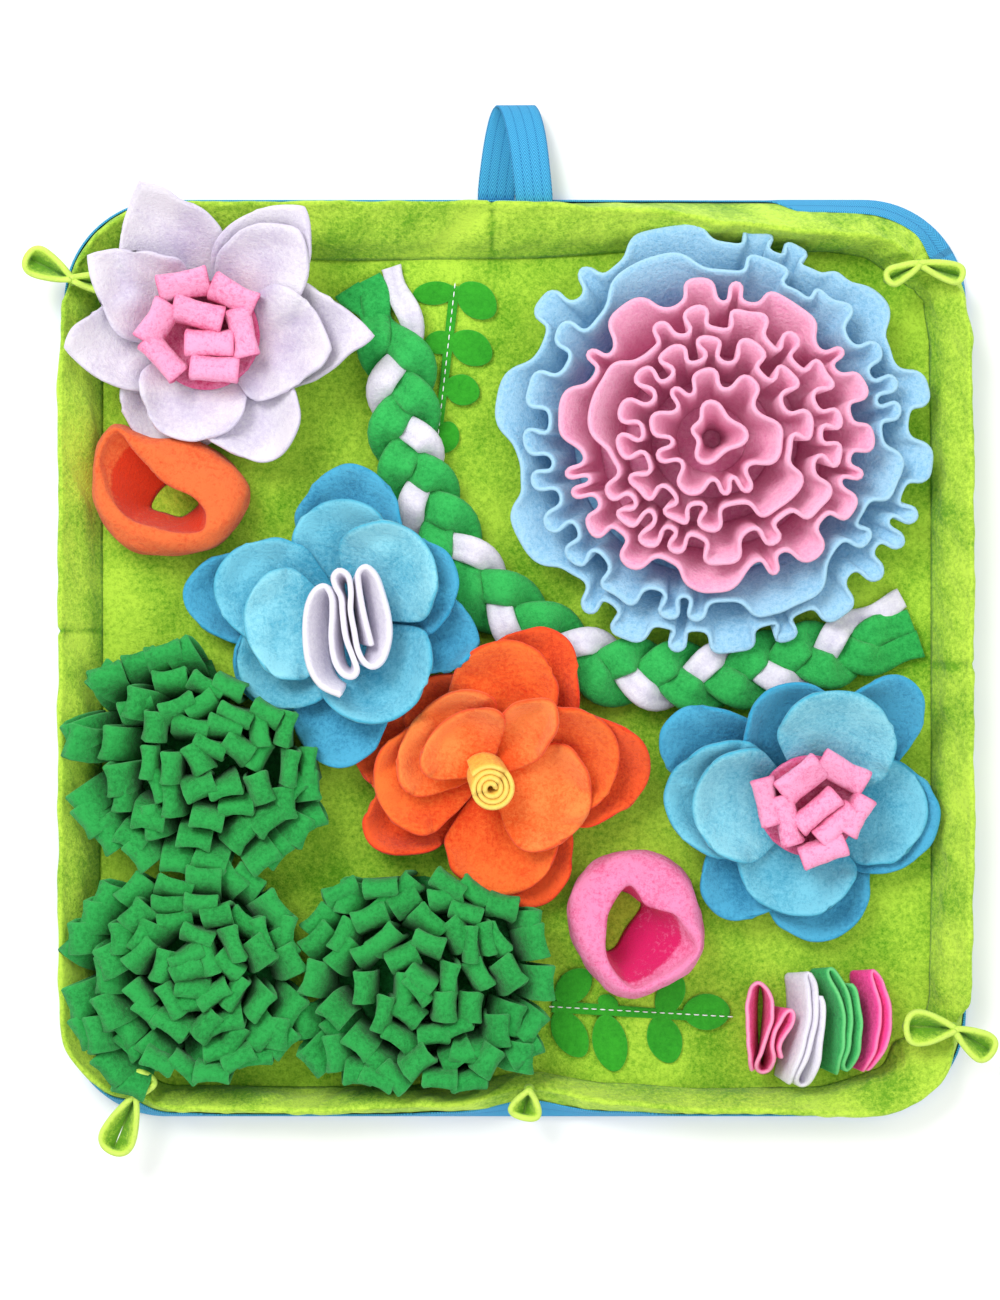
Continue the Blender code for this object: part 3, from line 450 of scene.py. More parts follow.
# Geometry Nodes: a tree's node, made and wired in one line
def treeNode(tree, kind, settings=None, inputs=None):
    made = tree.nodes.new(kind)
    for key, value in (settings or {}).items():
        setattr(made, key, value)
    for key, value in (inputs or {}).items():
        if isinstance(value, bpy.types.NodeSocket):
            tree.links.new(value, made.inputs[key])
        else:
            made.inputs[key].default_value = value
    return made


def newTree(name, inputs):
    tree = bpy.data.node_groups.new(name, "GeometryNodeTree")
    tree.interface.new_socket("Geometry", in_out="INPUT", socket_type="NodeSocketGeometry")
    for label, kind in inputs:
        tree.interface.new_socket(label, in_out="INPUT", socket_type=kind)
    tree.interface.new_socket("Geometry", in_out="OUTPUT", socket_type="NodeSocketGeometry")
    return tree, tree.nodes.new("NodeGroupInput"), tree.nodes.new("NodeGroupOutput")


# runs a tree on an object and leaves a plain mesh
def madePlain(obj, tree, values):
    bpy.context.scene.collection.objects.link(obj)
    modifier = obj.modifiers.new("build", "NODES")
    modifier.node_group = tree
    for item in tree.interface.items_tree:
        if item.item_type == "SOCKET" and item.in_out == "INPUT" and item.name in values:
            modifier[item.identifier] = values[item.name]
    bpy.context.view_layer.update()
    evaluated = obj.evaluated_get(bpy.context.evaluated_depsgraph_get())
    mesh = bpy.data.meshes.new_from_object(evaluated)
    name = obj.name
    bpy.data.objects.remove(obj)
    mesh.name = name
    return bpy.data.objects.new(name, mesh)


# copies a shape onto points that carry its turn, size and kind
def scatterTree():
    tree, start, end = newTree(
        "copies_on_points",
        (("Shapes", "NodeSocketCollection"), ("Cloth", "NodeSocketMaterial"), ("Size", "NodeSocketFloat")),
    )
    named = lambda name, kind: treeNode(
        tree, "GeometryNodeInputNamedAttribute", {"data_type": kind}, {"Name": name}
    ).outputs["Attribute"]
    shapes = treeNode(
        tree, "GeometryNodeCollectionInfo", None,
        {"Collection": start.outputs["Shapes"], "Separate Children": True, "Reset Children": True},
    )
    size = treeNode(
        tree, "ShaderNodeVectorMath", {"operation": "SCALE"},
        {0: named("stretch", "FLOAT_VECTOR"), "Scale": start.outputs["Size"]},
    )
    copies = treeNode(
        tree, "GeometryNodeInstanceOnPoints", None,
        {
            "Points": start.outputs["Geometry"], "Instance": shapes.outputs[0], "Pick Instance": True,
            "Instance Index": named("kind", "INT"), "Rotation": named("turn", "FLOAT_VECTOR"),
            "Scale": size.outputs[0],
        },
    )
    real = treeNode(tree, "GeometryNodeRealizeInstances", None, {"Geometry": copies.outputs[0]})
    dressed = treeNode(
        tree, "GeometryNodeSetMaterial", None, {"Geometry": real.outputs[0], "Material": start.outputs["Cloth"]}
    )
    tree.links.new(dressed.outputs[0], end.inputs[0])
    return tree


scatter = scatterTree()


# one piece of many copies; spots are (place, turn in radians, stretch, kind)
def copiesOf(name, shapes, spots, cloth, size=1.0):
    mesh = bpy.data.meshes.new(name)
    mesh.from_pydata([tuple(np.array(spot[0]) * mm) for spot in spots], [], [])
    for key, column in (("turn", 1), ("stretch", 2)):
        layer = mesh.attributes.new(key, "FLOAT_VECTOR", "POINT")
        layer.data.foreach_set("vector", [v for spot in spots for v in spot[column]])
    layer = mesh.attributes.new("kind", "INT", "POINT")
    layer.data.foreach_set("value", [spot[3] for spot in spots])
    made = madePlain(
        bpy.data.objects.new(name, mesh), scatter, {"Shapes": shapes, "Cloth": cloths[cloth], "Size": size}
    )
    made.data.polygons.foreach_set("use_smooth", [True] * len(made.data.polygons))
    return made


def shapeSet(name, meshes):
    group = bpy.data.collections.new(name)
    for i, mesh in enumerate(meshes):
        group.objects.link(bpy.data.objects.new(f"{name}_{i}", mesh))
    return group


stitch = dict(length=3.2, radius=0.34, bow=0.5, gap=4.4, lift=0.25)


# a stitch: a small rounded dash of thread along x
def stitchShape():
    stack = Stack()
    t = np.linspace(0, 1, 7)[:, None]
    radius = stitch["radius"] * np.sqrt(np.maximum(1 - (2 * t - 1) ** 4, 0.02))
    angle = allRound(6)
    high = radius * np.sin(angle) + 0.12 - stitch["bow"] * (2 * t - 1) ** 2
    stack.tube(np.stack([np.repeat((t - 0.5) * stitch["length"], 6, 1), radius * np.cos(angle), high], axis=-1))
    return stack.mesh("stitch")


stitchSet = shapeSet("stitch_shapes", [stitchShape()])


# a row of stitches along a line of points, in millimetres
def stitches(name, line, cloth):
    run = np.linalg.norm(np.diff(line, axis=0), axis=1).sum()
    path = curveThrough(line, max(3, int(run / stitch["gap"])))
    spots = []
    for (x, y, z), (dx, dy, dz) in zip(path, np.gradient(path, axis=0)):
        turn = (0.0, -math.atan2(dz, math.hypot(dx, dy)), math.atan2(dy, dx))
        spots.append(((x, y, z + stitch["lift"]), turn, (1.0, 1.0, 1.0), 0))
    return placePiece(copiesOf(name, stitchSet, spots, cloth))


print("cloths and helpers ready")


base = dict(
    halfX=246.0, halfY=250.0, corner=55.0, top=3.9, foot=4.3,
    around=480, rings=90, wrinkle=2.0, most=4.6, reach=(120, 20), seed=4,
)
sideX, sideY = base["halfX"] - base["corner"], base["halfY"] - base["corner"]
arc = base["corner"] * math.pi / 2
perimeter = 4 * (sideX + sideY + arc)


# points on the base's outline and the outward directions there, anticlockwise from the right side's middle
def outline(along):
    along = np.mod(np.atleast_1d(np.asarray(along, float)), perimeter)
    hx, hy = base["halfX"], base["halfY"]
    point, out = np.zeros((len(along), 2)), np.zeros((len(along), 2))
    start = 0.0
    for length, x, y, a, b in (
        (sideY, hx, 0, 0, 1), (arc, sideX, sideY, 0, None), (2 * sideX, sideX, hy, -1, 0),
        (arc, -sideX, sideY, 90, None), (2 * sideY, -hx, sideY, 0, -1), (arc, -sideX, -sideY, 180, None),
        (2 * sideX, -sideX, -hy, 1, 0), (arc, sideX, -sideY, 270, None), (sideY, hx, -sideY, 0, 1),
    ):
        on = (along >= start) & (along <= start + length)
        here = along[on] - start
        if b is None:
            angle = math.radians(a) + here / base["corner"]
            away = np.stack([np.cos(angle), np.sin(angle)], 1)
            point[on], out[on] = np.array((x, y)) + away * base["corner"], away
        else:
            point[on] = np.stack([x + a * here, y + b * here], 1)
            out[on] = (b, -a)
        start += length
    return point, out


# the base: fleece over wadding, softly creased between the things sewn on it
def makeBase():
    edge = outline(np.linspace(0, perimeter, base["around"], endpoint=False))[0]
    waves, mottledShade = Waves(base["seed"], *base["reach"]), Waves(base["seed"] + 1, 120, 22)
    shares = [0.01, 0.5, 0.985, 0.998, 1.0, 0.998] + list(np.linspace(0.985, 0.01, base["rings"]))
    heights = [0.0, 0.0, 0.0, 0.5, 1.6, 2.9] + [base["top"]] * base["rings"]
    sections = []
    for share, height in zip(shares, heights):
        ring = edge * share
        z = np.full(len(ring), height)
        if height == base["top"]:
            z = np.minimum(z - 0.5 + base["wrinkle"] * waves.at(ring[:, 0], ring[:, 1]) * 0.6, base["most"])
        sections.append(raised(ring, z))
    sections = np.array(sections)
    x, y = sections[..., 0], sections[..., 1]
    stack = Stack()
    # painted shade and light: broad mottled patches, and lighter on the wrinkles' crests
    stack.tube(sections, tone=0.55 * mottledShade.at(x, y) + 0.25 * waves.at(x, y))
    made = stack.piece("base_panel_cover", "lime", ["base_panel"])
    declareSheet(made, 2 * base["halfX"], 2 * base["halfY"], ["base_panel"])


makeBase()
print("base laid")

# where the corner loops and the bottom one stand along the outline
bowTR, bowTL, bowBL, bowBC, bowBR = 226.7, 739.1, 1208.1, 1424.7, 1688.4
rim = dict(
    step=2.4, around=26, crease=2.1, pleat=2.2, reach=(60, 9), seams=(bowTL + 191.0, perimeter - 4.0, 485.0),
    # along the outline, how high the tape shows
    tape=((0, 6.4), (196, 6.4), (226, 14), (316, 14), (334, 4.6), (396, 4.6), (430, 6.4), (1168, 6.4), (1196, 14),
          (1238, 14), (1258, 6.4), (1345, 6.4), (1380, 14), (1482, 14), (1508, 6.4), (perimeter, 6.4)),
    # along the outline, inner seam in from it, top edge out from it, height of the top edge
    sides={
        "rim_top": (
            (bowTR, 34, -21, 19.5), (250, 34, -21, 25), (310, 27, -19, 30), (355, 25, -14, 30),
            (395, 27, -8, 30), (472, 31, -4, 30), (560, 32, -4, 30), (663, 30, -4, 29), (700, 27, -6, 27),
            (bowTL, 20, -4, 19.5),
        ),
        "rim_left": (
            (bowTL, 20, -4, 19.5), (757, 19, -1, 27), (800, 20, 0, 30), (945, 20, 0, 30), (1100, 18, 0, 29),
            (1150, 18, -1, 28), (1188, 19, -5, 26), (bowBL, 20, -10, 19.5),
        ),
        "rim_bottom": (
            (bowBL, 20, -10, 19.5), (1232, 16, -6, 27), (1300, 15, -5, 30), (1380, 16, -8, 30),
            (bowBC, 23, -15, 19.5), (1470, 17, -9, 30), (1520, 14, -5, 30), (1580, 15, -4, 30),
            (1620, 24, -3, 29), (1652, 32, -3, 27), (bowBR, 22, -7, 19.5),
        ),
        "rim_right": (
            (bowBR, 22, -7, 19.5), (1706, 19, 0, 27), (1760, 18, 1, 30), (1990, 18, 1, 30), (2060, 19, 0, 30),
            (2084, 22, -3, 25), (2096, 26, -7, 22), (2106, 30, -13, 20.3), (perimeter + bowTR, 34, -21, 19.5),
        ),
    },
)


def rimRow(rows, along):
    return [fromTable(rows, along, column) for column in (1, 2, 3)]


# the rim is a folded band: up its inner face, over the top edge and down to the foot
def makeRim(name, rows, seed):
    first, last, foot, count = rows[0][0], rows[-1][0], base["foot"], rim["around"]
    along = np.linspace(first, last, int((last - first) / rim["step"]))
    inset, lean, height = rimRow(rows, along)
    level = 0 * inset
    corners = profiles(
        (-inset, level + foot),
        (-0.84 * inset + 0.16 * (lean - 3), foot + 0.20 * (height - foot)),
        (-0.60 * inset + 0.40 * (lean - 3), foot + 0.50 * (height - foot)),
        (lean - 3.0, height - 2.6), (lean - 0.8, height), (lean + 1.2, height - 2.6),
        (lean * (0.55 * height - 4.0) / (height - 4.0) + 0.2, 0.55 * height),
        (level - 0.4, level + foot),
    )
    fine = np.array([curveThrough(profile, count) for profile in corners])
    point, out = outline(along)
    waves, ripples = Waves(seed, *rim["reach"]), Waves(seed + 50, 130, 30, 5)
    rise = (fine[:, :, 1] - foot) / (height - foot)[:, None]
    held = np.clip(rise, 0, 1)
    inner = np.arange(count)[None, :] / (count - 1)
    facing = inner < 0.62
    puffed = rim["crease"] * waves.at(along[:, None] + 22 * rise, 40 * inner) * np.sin(math.pi * held) ** 0.7
    settled = smooth((along - first) / 25) * smooth((last - along) / 25)
    end = np.minimum(along - first, last - along)
    pleats = (np.sin(end * 2 * math.pi / (8 + 0.15 * end)) * np.exp(-end / 22) * smooth(end / 4))[:, None]
    pleats = pleats * np.sin(math.pi * held**1.6)  # folds that run out from the pinched corners
    seam = sum(np.exp(-(((along - place) / 1.6) ** 2)) for place in rim["seams"])[:, None]
    offset = fine[:, :, 0] + rim["pleat"] * pleats * facing + puffed * settled[:, None] * np.where(facing, 1.2, 0.5)
    offset = offset + 1.3 * seam * np.where(inner < 0.5, 1.0, -1.0) * (rise > 0.1)
    z = fine[:, :, 1] + 1.2 * (ripples.at(along, level) * settled)[:, None] * rise**2 - 1.0 * seam * rise
    sections = raised(point[:, None] + out[:, None] * offset[..., None], z)
    # painted shade and light: mottled patches, lighter where the band puffs out and up its height, lighter and darker
    # across the pleats; it is also darker along the seams
    mottledShade = Waves(seed + 80, 90, 16).at(sections[..., 0], sections[..., 1])
    stack = Stack()
    stack.tube(sections, tone=0.3 * puffed + 0.45 * mottledShade - 0.9 * seam + 0.5 * (rise - 0.6) + 0.5 * pleats)
    made = stack.piece(name + "_band", "limeRim", [name])
    declareSheet(made, 2 * 38.0, last - first, ["base_panel"])
    lay.cover(sections, 0.6, fine=2)


for i, (name, rows) in enumerate(rim["sides"].items()):
    makeRim(name, rows, 11 + i)


# the tape sewn round the foot of the rim
def makeEdgeTape():
    sections, weave = [], []
    for rows in rim["sides"].values():
        first, last = rows[0][0], rows[-1][0]
        along = np.linspace(first, last, int((last - first) / 4.0), endpoint=False)
        _, lean, height = rimRow(rows, along)
        point, out = outline(along)
        top = fromTable(rim["tape"], np.mod(along, perimeter), 1)
        low = np.minimum(5.2, top - 1.2)
        high = lean * np.maximum(top - 4.0, 0.0) / (height - 4.0) + 0.5
        level = 0 * high
        full = profiles(
            (level, level + 0.6), (level + 0.3, low), (high, top),
            (high + 0.8, top), (level + 1.2, low), (level + 0.9, level + 0.6),
        )
        sections.append(raised(point[:, None] + out[:, None] * full[..., :1], full[..., 1]))
        weave.append(np.stack([np.repeat(along[:, None], 6, 1), full[..., 1], 0 * full[..., 1]], 2))
    stack = Stack()
    stack.tube(np.concatenate(sections), closed=True, weave=np.concatenate(weave))
    made = stack.piece("edge_tape_woven", "tape", ["edge_tape"])
    for face in made.data.polygons:
        face.use_smooth = False
    declareSheet(made, 15.0, perimeter, ["base_panel"])


makeEdgeTape()
print("rim and tape sewn")

bows = dict(
    low=20.3, high=32.5, cloth=3.2, flare=(0.14, 1.2),
    knot=((0, 2.0), (3, 3.0), (5.7, 2.1), (9.2, 2.8), (10.7, 2.2), (11.1, 0.4)),  # height above the low edge, radius
    # piece of the rim, place along the outline, then direction, length and width of the outer and the inner loop
    rows={
        "bow_top_left": ("rim_left", bowTL, (153, 27, 15), (-8, 19, 9)),
        "bow_top_right": ("rim_top", bowTR, (-15, 24, 10), (205, 19, 9)),
        "bow_bottom_right": ("rim_right", bowBR, (-32, 24, 15), (178, 26, 18)),
        "bow_bottom_left": ("rim_left", bowBL, (247, 33, 18), (60, 13, 12)),
        "bow_bottom": ("rim_bottom", bowBC, (258, 15, 16)),
    },
)


# the rim's spare cloth, pinched and tacked into loops
def makeBow(name, side, along, *loops):
    point, out = outline(along)
    x, y = (point + out * (rimRow(rim["sides"][side], np.array([along]))[1][:, None] - 1.6))[0]
    stack = Stack()
    t = allRound(56)
    v = np.linspace(0, 1, 8)[None, :]
    narrow, flared = bows["flare"]
    for direction, length, width in loops:
        reach = length * (1 - np.cos(t)) / 2
        aside = width / 2 * np.sin(t) * (0.25 + 0.95 * np.sin(t / 2) ** 2)
        share = (reach / length)[:, None]
        z = bows["low"] + (bows["high"] - bows["low"]) * v
        z = z + 3.0 * smooth(reach[:, None] / 9) * (1 - v) - 2.0 * share * v + 0.5 * np.sin(5 * t[:, None]) * v
        wider = aside[:, None] * (narrow + (flared - narrow) * v**0.8) + 0.7 * np.sin(3 * t)[:, None] * share * v
        grid = np.stack([*turned(x, y, math.radians(direction), reach[:, None], wider), z], axis=2)
        # painted shade: dark down inside the loops, lighter towards their top edge
        stack.sheet(grid, bows["cloth"], wrapRows=True, tone=1.9 * v**1.5 - 1.3 + 0 * z)
    t = allRound(14)
    knot = [
        np.stack([x + radius * np.cos(t), y + radius * np.sin(t), 0 * t + bows["low"] + up], 1)
        for up, radius in bows["knot"]
    ]
    stack.tube(np.array(knot), tone=-0.2)
    made = stack.piece(name + "_loops", "limeRim", [name])
    total = sum(2 * loop[1] + 4 for loop in loops)
    declareSheet(made, total, 12.5, [side + "_band"])


for name, row in bows["rows"].items():
    makeBow(name, *row)

# reach is from the rim; drawn is how far the upper end is pulled in; slant is in degrees
handle = dict(width=20, length=122, cloth=1.3, x=10.5, y=252.1, reach=50, drawn=5.0, low=1.4, high=16, slant=11)


# a hanging loop of tape: it lies on the floor and comes back over itself
def makeHandle():
    u, v = np.linspace(0, 1, 61)[:, None], np.linspace(0, 1, 9)[None, :]
    turn = math.pi * u
    y = handle["y"] + handle["reach"] * np.sin(turn) ** 0.8 - handle["drawn"] * smooth((u - 0.8) / 0.2)
    z = handle["low"] + handle["high"] * (1 - np.cos(turn)) / 2 * (0.4 + 0.6 * smooth(u))
    across = (v - 0.5) * handle["width"]
    slant = np.radians(handle["slant"] - 2 * handle["slant"] * u)
    x = -handle["x"] + 2 * handle["x"] * u + across * np.cos(slant)
    grid = np.stack([x, y - across * np.sin(slant) * np.sin(turn) ** 0.4, z + 0 * v], 2)
    stack = Stack()
    stack.sheet(grid, handle["cloth"], weave=np.stack([120 * u + 0 * v, across + 0 * u, 0 * u * v], 2))
    made = stack.piece("handle_tape_woven", "tape", ["handle_tape"])
    declareSheet(made, handle["width"], handle["length"], ["rim_top_band"])


makeHandle()
print("bows and handle made")

braid = dict(
    route=(
        (-80, 208), (-71, 189), (-64, 162), (-61.5, 135), (-57, 110), (-49, 86), (-35, 61.5), (-16.5, 37),
        (8, 16.5), (33, 1.5), (60, -8), (87, -10.5), (114.5, -8.8), (142, -4.5), (169, 2), (193.5, 11), (217, 20.5),
    ),
    swing=11.8, lift=6.0, width=17.5, thickness=8.4, waves=6, middle=14.6, sides=16, steps=24,
    # the ruffle's middle, how far from it the plait is pressed down, over what width, and by what share
    pressed=(107.5, 120.0, 136, 14, 0.27),
    strands=(("braid_green_a", 0, "plait", "grass_fleece"), ("braid_green_b", 1, "plait", "grass_fleece"),
             ("braid_white", 2, "ribbon", "white_fleece")),
)


# points evenly spaced in number along the braid's middle line, as in the solids
def routePoints(count):
    points = np.array(braid["route"], float)
    at = (len(points) - 1) * np.arange(count) / (count - 1)
    k = np.minimum(at.astype(int), len(points) - 2)
    t = (at - k)[:, None]
    a, b = points[k], points[k + 1]
    slopeA = (b - points[np.maximum(k - 1, 0)]) / 2
    slopeB = (points[np.minimum(k + 2, len(points) - 1)] - a) / 2
    ends = a * (2 * t**3 - 3 * t**2 + 1) + b * (3 * t**2 - 2 * t**3)
    return ends + slopeA * (t**3 - 2 * t**2 + t) + slopeB * (t**3 - t**2)


# a circle's sine or cosine drawn towards a square's
def boxed(part, power):
    return np.sign(part) * np.abs(part) ** power


def makeStrand(name, number, cloth, slot):
    count = braid["waves"] * braid["steps"]
    line = routePoints(count + 1)
    at = np.arange(count + 1) * 6 / braid["steps"]
    wave = 2 * math.pi * ((at + 0.5) / 6 + number / 3)
    angle = allRound(braid["sides"])
    tied = smooth(at / 5) * smooth((at[-1] - at) / 5)  # the ends lie flat beside each other
    swing = braid["swing"] * (np.sin(wave) * tied + (number - 1) * 1.15 * (1 - tied))
    lift = braid["lift"] * np.sin(2 * wave) * tied
    grain, fold = Waves(60 + number, 30, 7, 5), Waves(70 + number, 26, 9, 4)
    wide = braid["width"] / 2 * (1 + 0.08 * np.sin(2 * wave))[:, None] * boxed(np.cos(angle), 0.8)
    thick = braid["thickness"] / 2 * (0.35 + 0.65 * tied)[:, None] * boxed(np.sin(angle), 0.9)
    own = line + sidesOf(line) * swing[:, None]
    across = wide * (0.8 + 0.2 * tied)[:, None] * (0.82 if number == 2 else 1.04)  # the white one is narrower
    crease = 0.9 * np.exp(-(((wide - 2.4 * fold.at(at, 0 * at)[:, None]) / 1.3) ** 2)) * (np.sin(angle) > 0.2)
    low = base["foot"] + 2.2
    middle = low + (braid["middle"] - low) * tied
    z = middle[:, None] + lift[:, None] + thick + 0.5 * grain.at(at[:, None] * 5, wide) - crease
    spot = own[:, None] + sidesOf(own)[:, None] * across[..., None]
    x, y, reach, fade, share = braid["pressed"]
    near = smooth((reach - np.hypot(spot[..., 0] - x, spot[..., 1] - y)) / fade)
    sections = raised(spot, np.maximum(z - share * near * (z - low), 4.5))
    # painted shade and light: lighter where a strand rises over the others, darker in its creases and towards its sides
    tone = 0.35 * (lift / braid["lift"])[:, None] - 0.55 * crease
    stack = Stack()
    stack.tube(sections, tone=tone - 0.25 * (np.abs(wide) / braid["width"] * 2) ** 3 + 0.1)
    made = stack.piece(name + "_roll", cloth, [name])
    declareSheet(made, 46.0, 640.0, ["base_panel_cover"])
    lay.cover(sections, 0.4, fine=2)


for row in braid["strands"]:
    makeStrand(*row)
print("braid plaited")

# middle, how much higher the petals are 70 mm out (least, most), width of the flat middle, levels of petals
flowers = {
    "lotus": dict(at=(-167.8, 174.9), climb=(10, 28), flat=20, levels=4),
    "blue_left": dict(at=(-92.1, 23.3), climb=(5, 5), flat=58, levels=6),
    "orange": dict(at=(-15.2, -63.4), climb=(4, 4), flat=20, levels=6),
    "blue_right": dict(at=(158.7, -79.6), climb=(5, 5), flat=24, levels=6),
}
levelStep, halfCloth = 3.4, 0.7
braidLine, braidRise = routePoints(40), 22.8  # the rise is that of the solids' plait over the base


def fromBraid(x, y):
    here = np.stack([np.asarray(x, float), np.asarray(y, float)], -1)[..., None, :]
    a, step = braidLine[:-1], np.diff(braidLine, axis=0)
    t = np.clip(((here - a) * step).sum(-1) / (step**2).sum(-1), 0, 1)
    return np.linalg.norm(here - a - step * t[..., None], axis=-1).min(-1)


# height of cloth that hangs over something: full out to inner, nothing from outer on
def over(distance, inner, outer, height):
    t = np.clip((outer - distance) / (outer - inner), 0, 1)
    return height * np.where(t < 0.5, 2 * t * t, 1 - 2 * (1 - t) ** 2)


# height that a flower's petals are laid at
def petalHeight(flower, x, y, level):
    row = flowers[flower]
    under = over(fromBraid(x, y), 12, 80, braidRise)
    if flower == "blue_left":  # it lies on the orange one
        cx, cy = flowers["orange"]["at"]
        under = np.maximum(under, over(np.hypot(x - cx, y - cy), 70, 124, 4 * levelStep + 1.5))
    (cx, cy), (low, high) = row["at"], row["climb"]
    away = np.hypot(x - cx, y - cy)
    reach = np.maximum(0.0, away - 12) / 58
    corner = ((x - cx) * -0.62 + (y - cy) * 0.78) / np.maximum(away, 1)  # 1 towards the mat's top left corner
    climb = (low + (high - low) * smooth(corner * 1.2 + 0.5)) * reach**1.2
    return base["foot"] + under * smooth((away - 2) / row["flat"]) + halfCloth + level * levelStep + climb


def bed(flower, x, y):
    return petalHeight(flower, x, y, flowers[flower]["levels"]) - halfCloth


# rows: direction, length, width, point (0 round, 0.3 sharp), level, then how much the sides cup up,
# how much the tip turns up, and how far the tip is swung aside
whorls = dict(
    cloth=2.3, cells=(22, 26), root=2.0, ragged=2.0, uneven=(1.0, 2.2), vein=0.8,
    rows=(
        ("orange", "outer", "redOrange", "orange_fleece", (
            (66, 86, 60, 0.0, 0, 5, 3, 0), (-65, 77, 56, 0.0, 0, 5, 6, 0), (204, 74, 44, 0.0, 0, 5, 10, 4),
            (4, 88, 62, 0.0, 1, 6, 5, 0), (168, 76, 46, 0.0, 1, 5, 5, 0), (125, 62, 48, 0.0, 1, 6, 5, 0),
        )),
        ("orange", "middle", "orange", "orange_fleece", (
            (78, 74, 58, 0.0, 2, 6, 6, 0), (-77, 66, 62, 0.0, 2, 6, 4, 0), (12, 72, 62, 0.0, 3, 7, 6, 0),
            (182, 61, 60, 0.0, 3, 8, 8, 0),
        )),
        ("orange", "inner", "lightOrange", "orange_fleece", (
            (-20, 58, 58, 0.0, 4, 6, 5, 0), (140, 49, 70, 0.0, 4, 11, 7, 0), (50, 53, 30, 0.0, 5, 8, 8, 0),
            (128, 37, 50, 0.0, 6, 10, 7, 0),
        )),
        ("blue_left", "outer", "deepBlue", "blue_fleece", (
            (87, 81, 60, 0.0, 0, 5, 4, 0), (171, 89, 52, 0.0, 0, 5, 5, 0), (264, 82, 56, 0.0, 0, 5, 3, 4),
            (-12, 74, 48, 0.05, 0, 5, 5, 0), (25, 65, 54, 0.0, 1, 5, 4, 0), (216, 69, 56, 0.0, 1, 6, 5, 0),
        )),
        ("blue_left", "middle", "midBlue", "blue_fleece", (
            (92, 62, 56, 0.0, 2, 6, 4, 0), (218, 67, 56, 0.0, 2, 6, 5, 0), (162, 73, 58, 0.0, 3, 6, 5, 0),
            (-61, 62, 64, 0.0, 3, 6, 10, 0),
        )),
        ("blue_left", "inner", "paleBlue", "blue_fleece", (
            (44, 58, 60, 0.0, 4, 7, 5, 0), (189, 54, 60, 0.0, 5, 7, 5, 0),
        )),
        ("blue_right", "outer", "deepBlue", "blue_fleece", (
            (50, 86, 50, 0.0, 0, 5, 8, 0), (151, 90, 50, 0.0, 0, 5, 4, 0), (-84, 75, 62, 0.0, 0, 5, 4, 0),
            (229, 77, 50, 0.0, 1, 5, 4, 0), (-9, 72, 62, 0.0, 1, 6, 5, 0), (103, 67, 58, 0.0, 1, 6, 8, 0),
        )),
        ("blue_right", "middle", "midBlue", "blue_fleece", (
            (176, 78, 64, 0.0, 2, 6, 5, 0), (-5, 65, 58, 0.0, 2, 6, 5, 0), (258, 60, 64, 0.0, 3, 6, 5, 0),
        )),
        ("blue_right", "inner", "paleBlue", "blue_fleece", (
            (180, 63, 62, 0.0, 4, 7, 5, 0), (68, 65, 64, 0.0, 5, 7, 6, 0),
        )),
        ("lotus", "outer", "white", "white_fleece", (
            (112, 86, 58, 0.13, 0, 6, 3, 0), (-1, 92, 56, 0.16, 0, 6, 3, 0), (243, 66, 60, 0.0, 0, 4, 2, 0),
            (187, 74, 50, 0.10, 1, 6, 3, 0), (50, 85, 52, 0.06, 1, 6, 3, 0),
        )),
        ("lotus", "inner", "white", "white_fleece", (
            (147, 73, 52, 0.15, 2, 5, 3, 0), (301, 77, 54, 0.0, 2, 6, 4, 0), (45, 74, 50, 0.02, 2, 6, 5, 0),
            (258, 58, 58, 0.0, 3, 6, 4, 0), (-8, 70, 60, 0.10, 3, 6, 4, 0),
        )),
    ),
)


# a petal: a square grid pressed into a disc, drawn in at its root and out at its tip
def petalGrid(flower, direction, length, width, point, level, cup, curl, aside, seed):
    a, b = np.linspace(-1, 1, whorls["cells"][0] + 1)[None, :], np.linspace(-1, 1, whorls["cells"][1] + 1)[:, None]
    side, ahead = a * np.sqrt(1 - b * b / 2), b * np.sqrt(1 - a * a / 2)
    root, half = whorls["root"], whorls["cloth"] / 2
    out = root + (length * (1 - point) - root) * (ahead + 1) / 2
    out = out + point * length * np.maximum(ahead, 0) ** 2 * (1 - np.abs(side)) ** 1.3
    share = out / length
    across = side * width / 2 * (0.42 + 0.58 * smooth(share / 0.5)) + aside * smooth(share) * share
    waves = Waves(seed, 64, 16, 6)
    edge = np.sqrt(side**2 + ahead**2)
    across = across + whorls["ragged"] * waves.at(out, across) * edge**3
    x, y = turned(*flowers[flower]["at"], math.radians(direction), out, across)
    z = petalHeight(flower, x, y, level) + cup * side**2 * smooth(share * 1.4)
    z = z + curl * smooth((edge * (ahead > 0) - 0.62) / 0.38) * smooth(share)
    z = z + (whorls["uneven"][0] + whorls["uneven"][1] * edge**2) * waves.at(x, y) * smooth(share)
    z = z - whorls["vein"] * np.exp(-((side / 0.10) ** 2)) * (1 - share) * smooth(share * 3)
    z = np.maximum(z, lay.at(x, y, lay.softened(2, 3)) + half + 0.15)
    for _ in range(2):
        inner = (z[:-2, 1:-1] + z[2:, 1:-1] + z[1:-1, :-2] + z[1:-1, 2:]) / 4
        z[1:-1, 1:-1] = np.maximum((z[1:-1, 1:-1] + inner) / 2, lay.at(x, y)[1:-1, 1:-1] + half + 0.1)
    grid = np.stack([x, y, z], 2)
    lay.cover(grid, whorls["cloth"])
    return grid, share, side


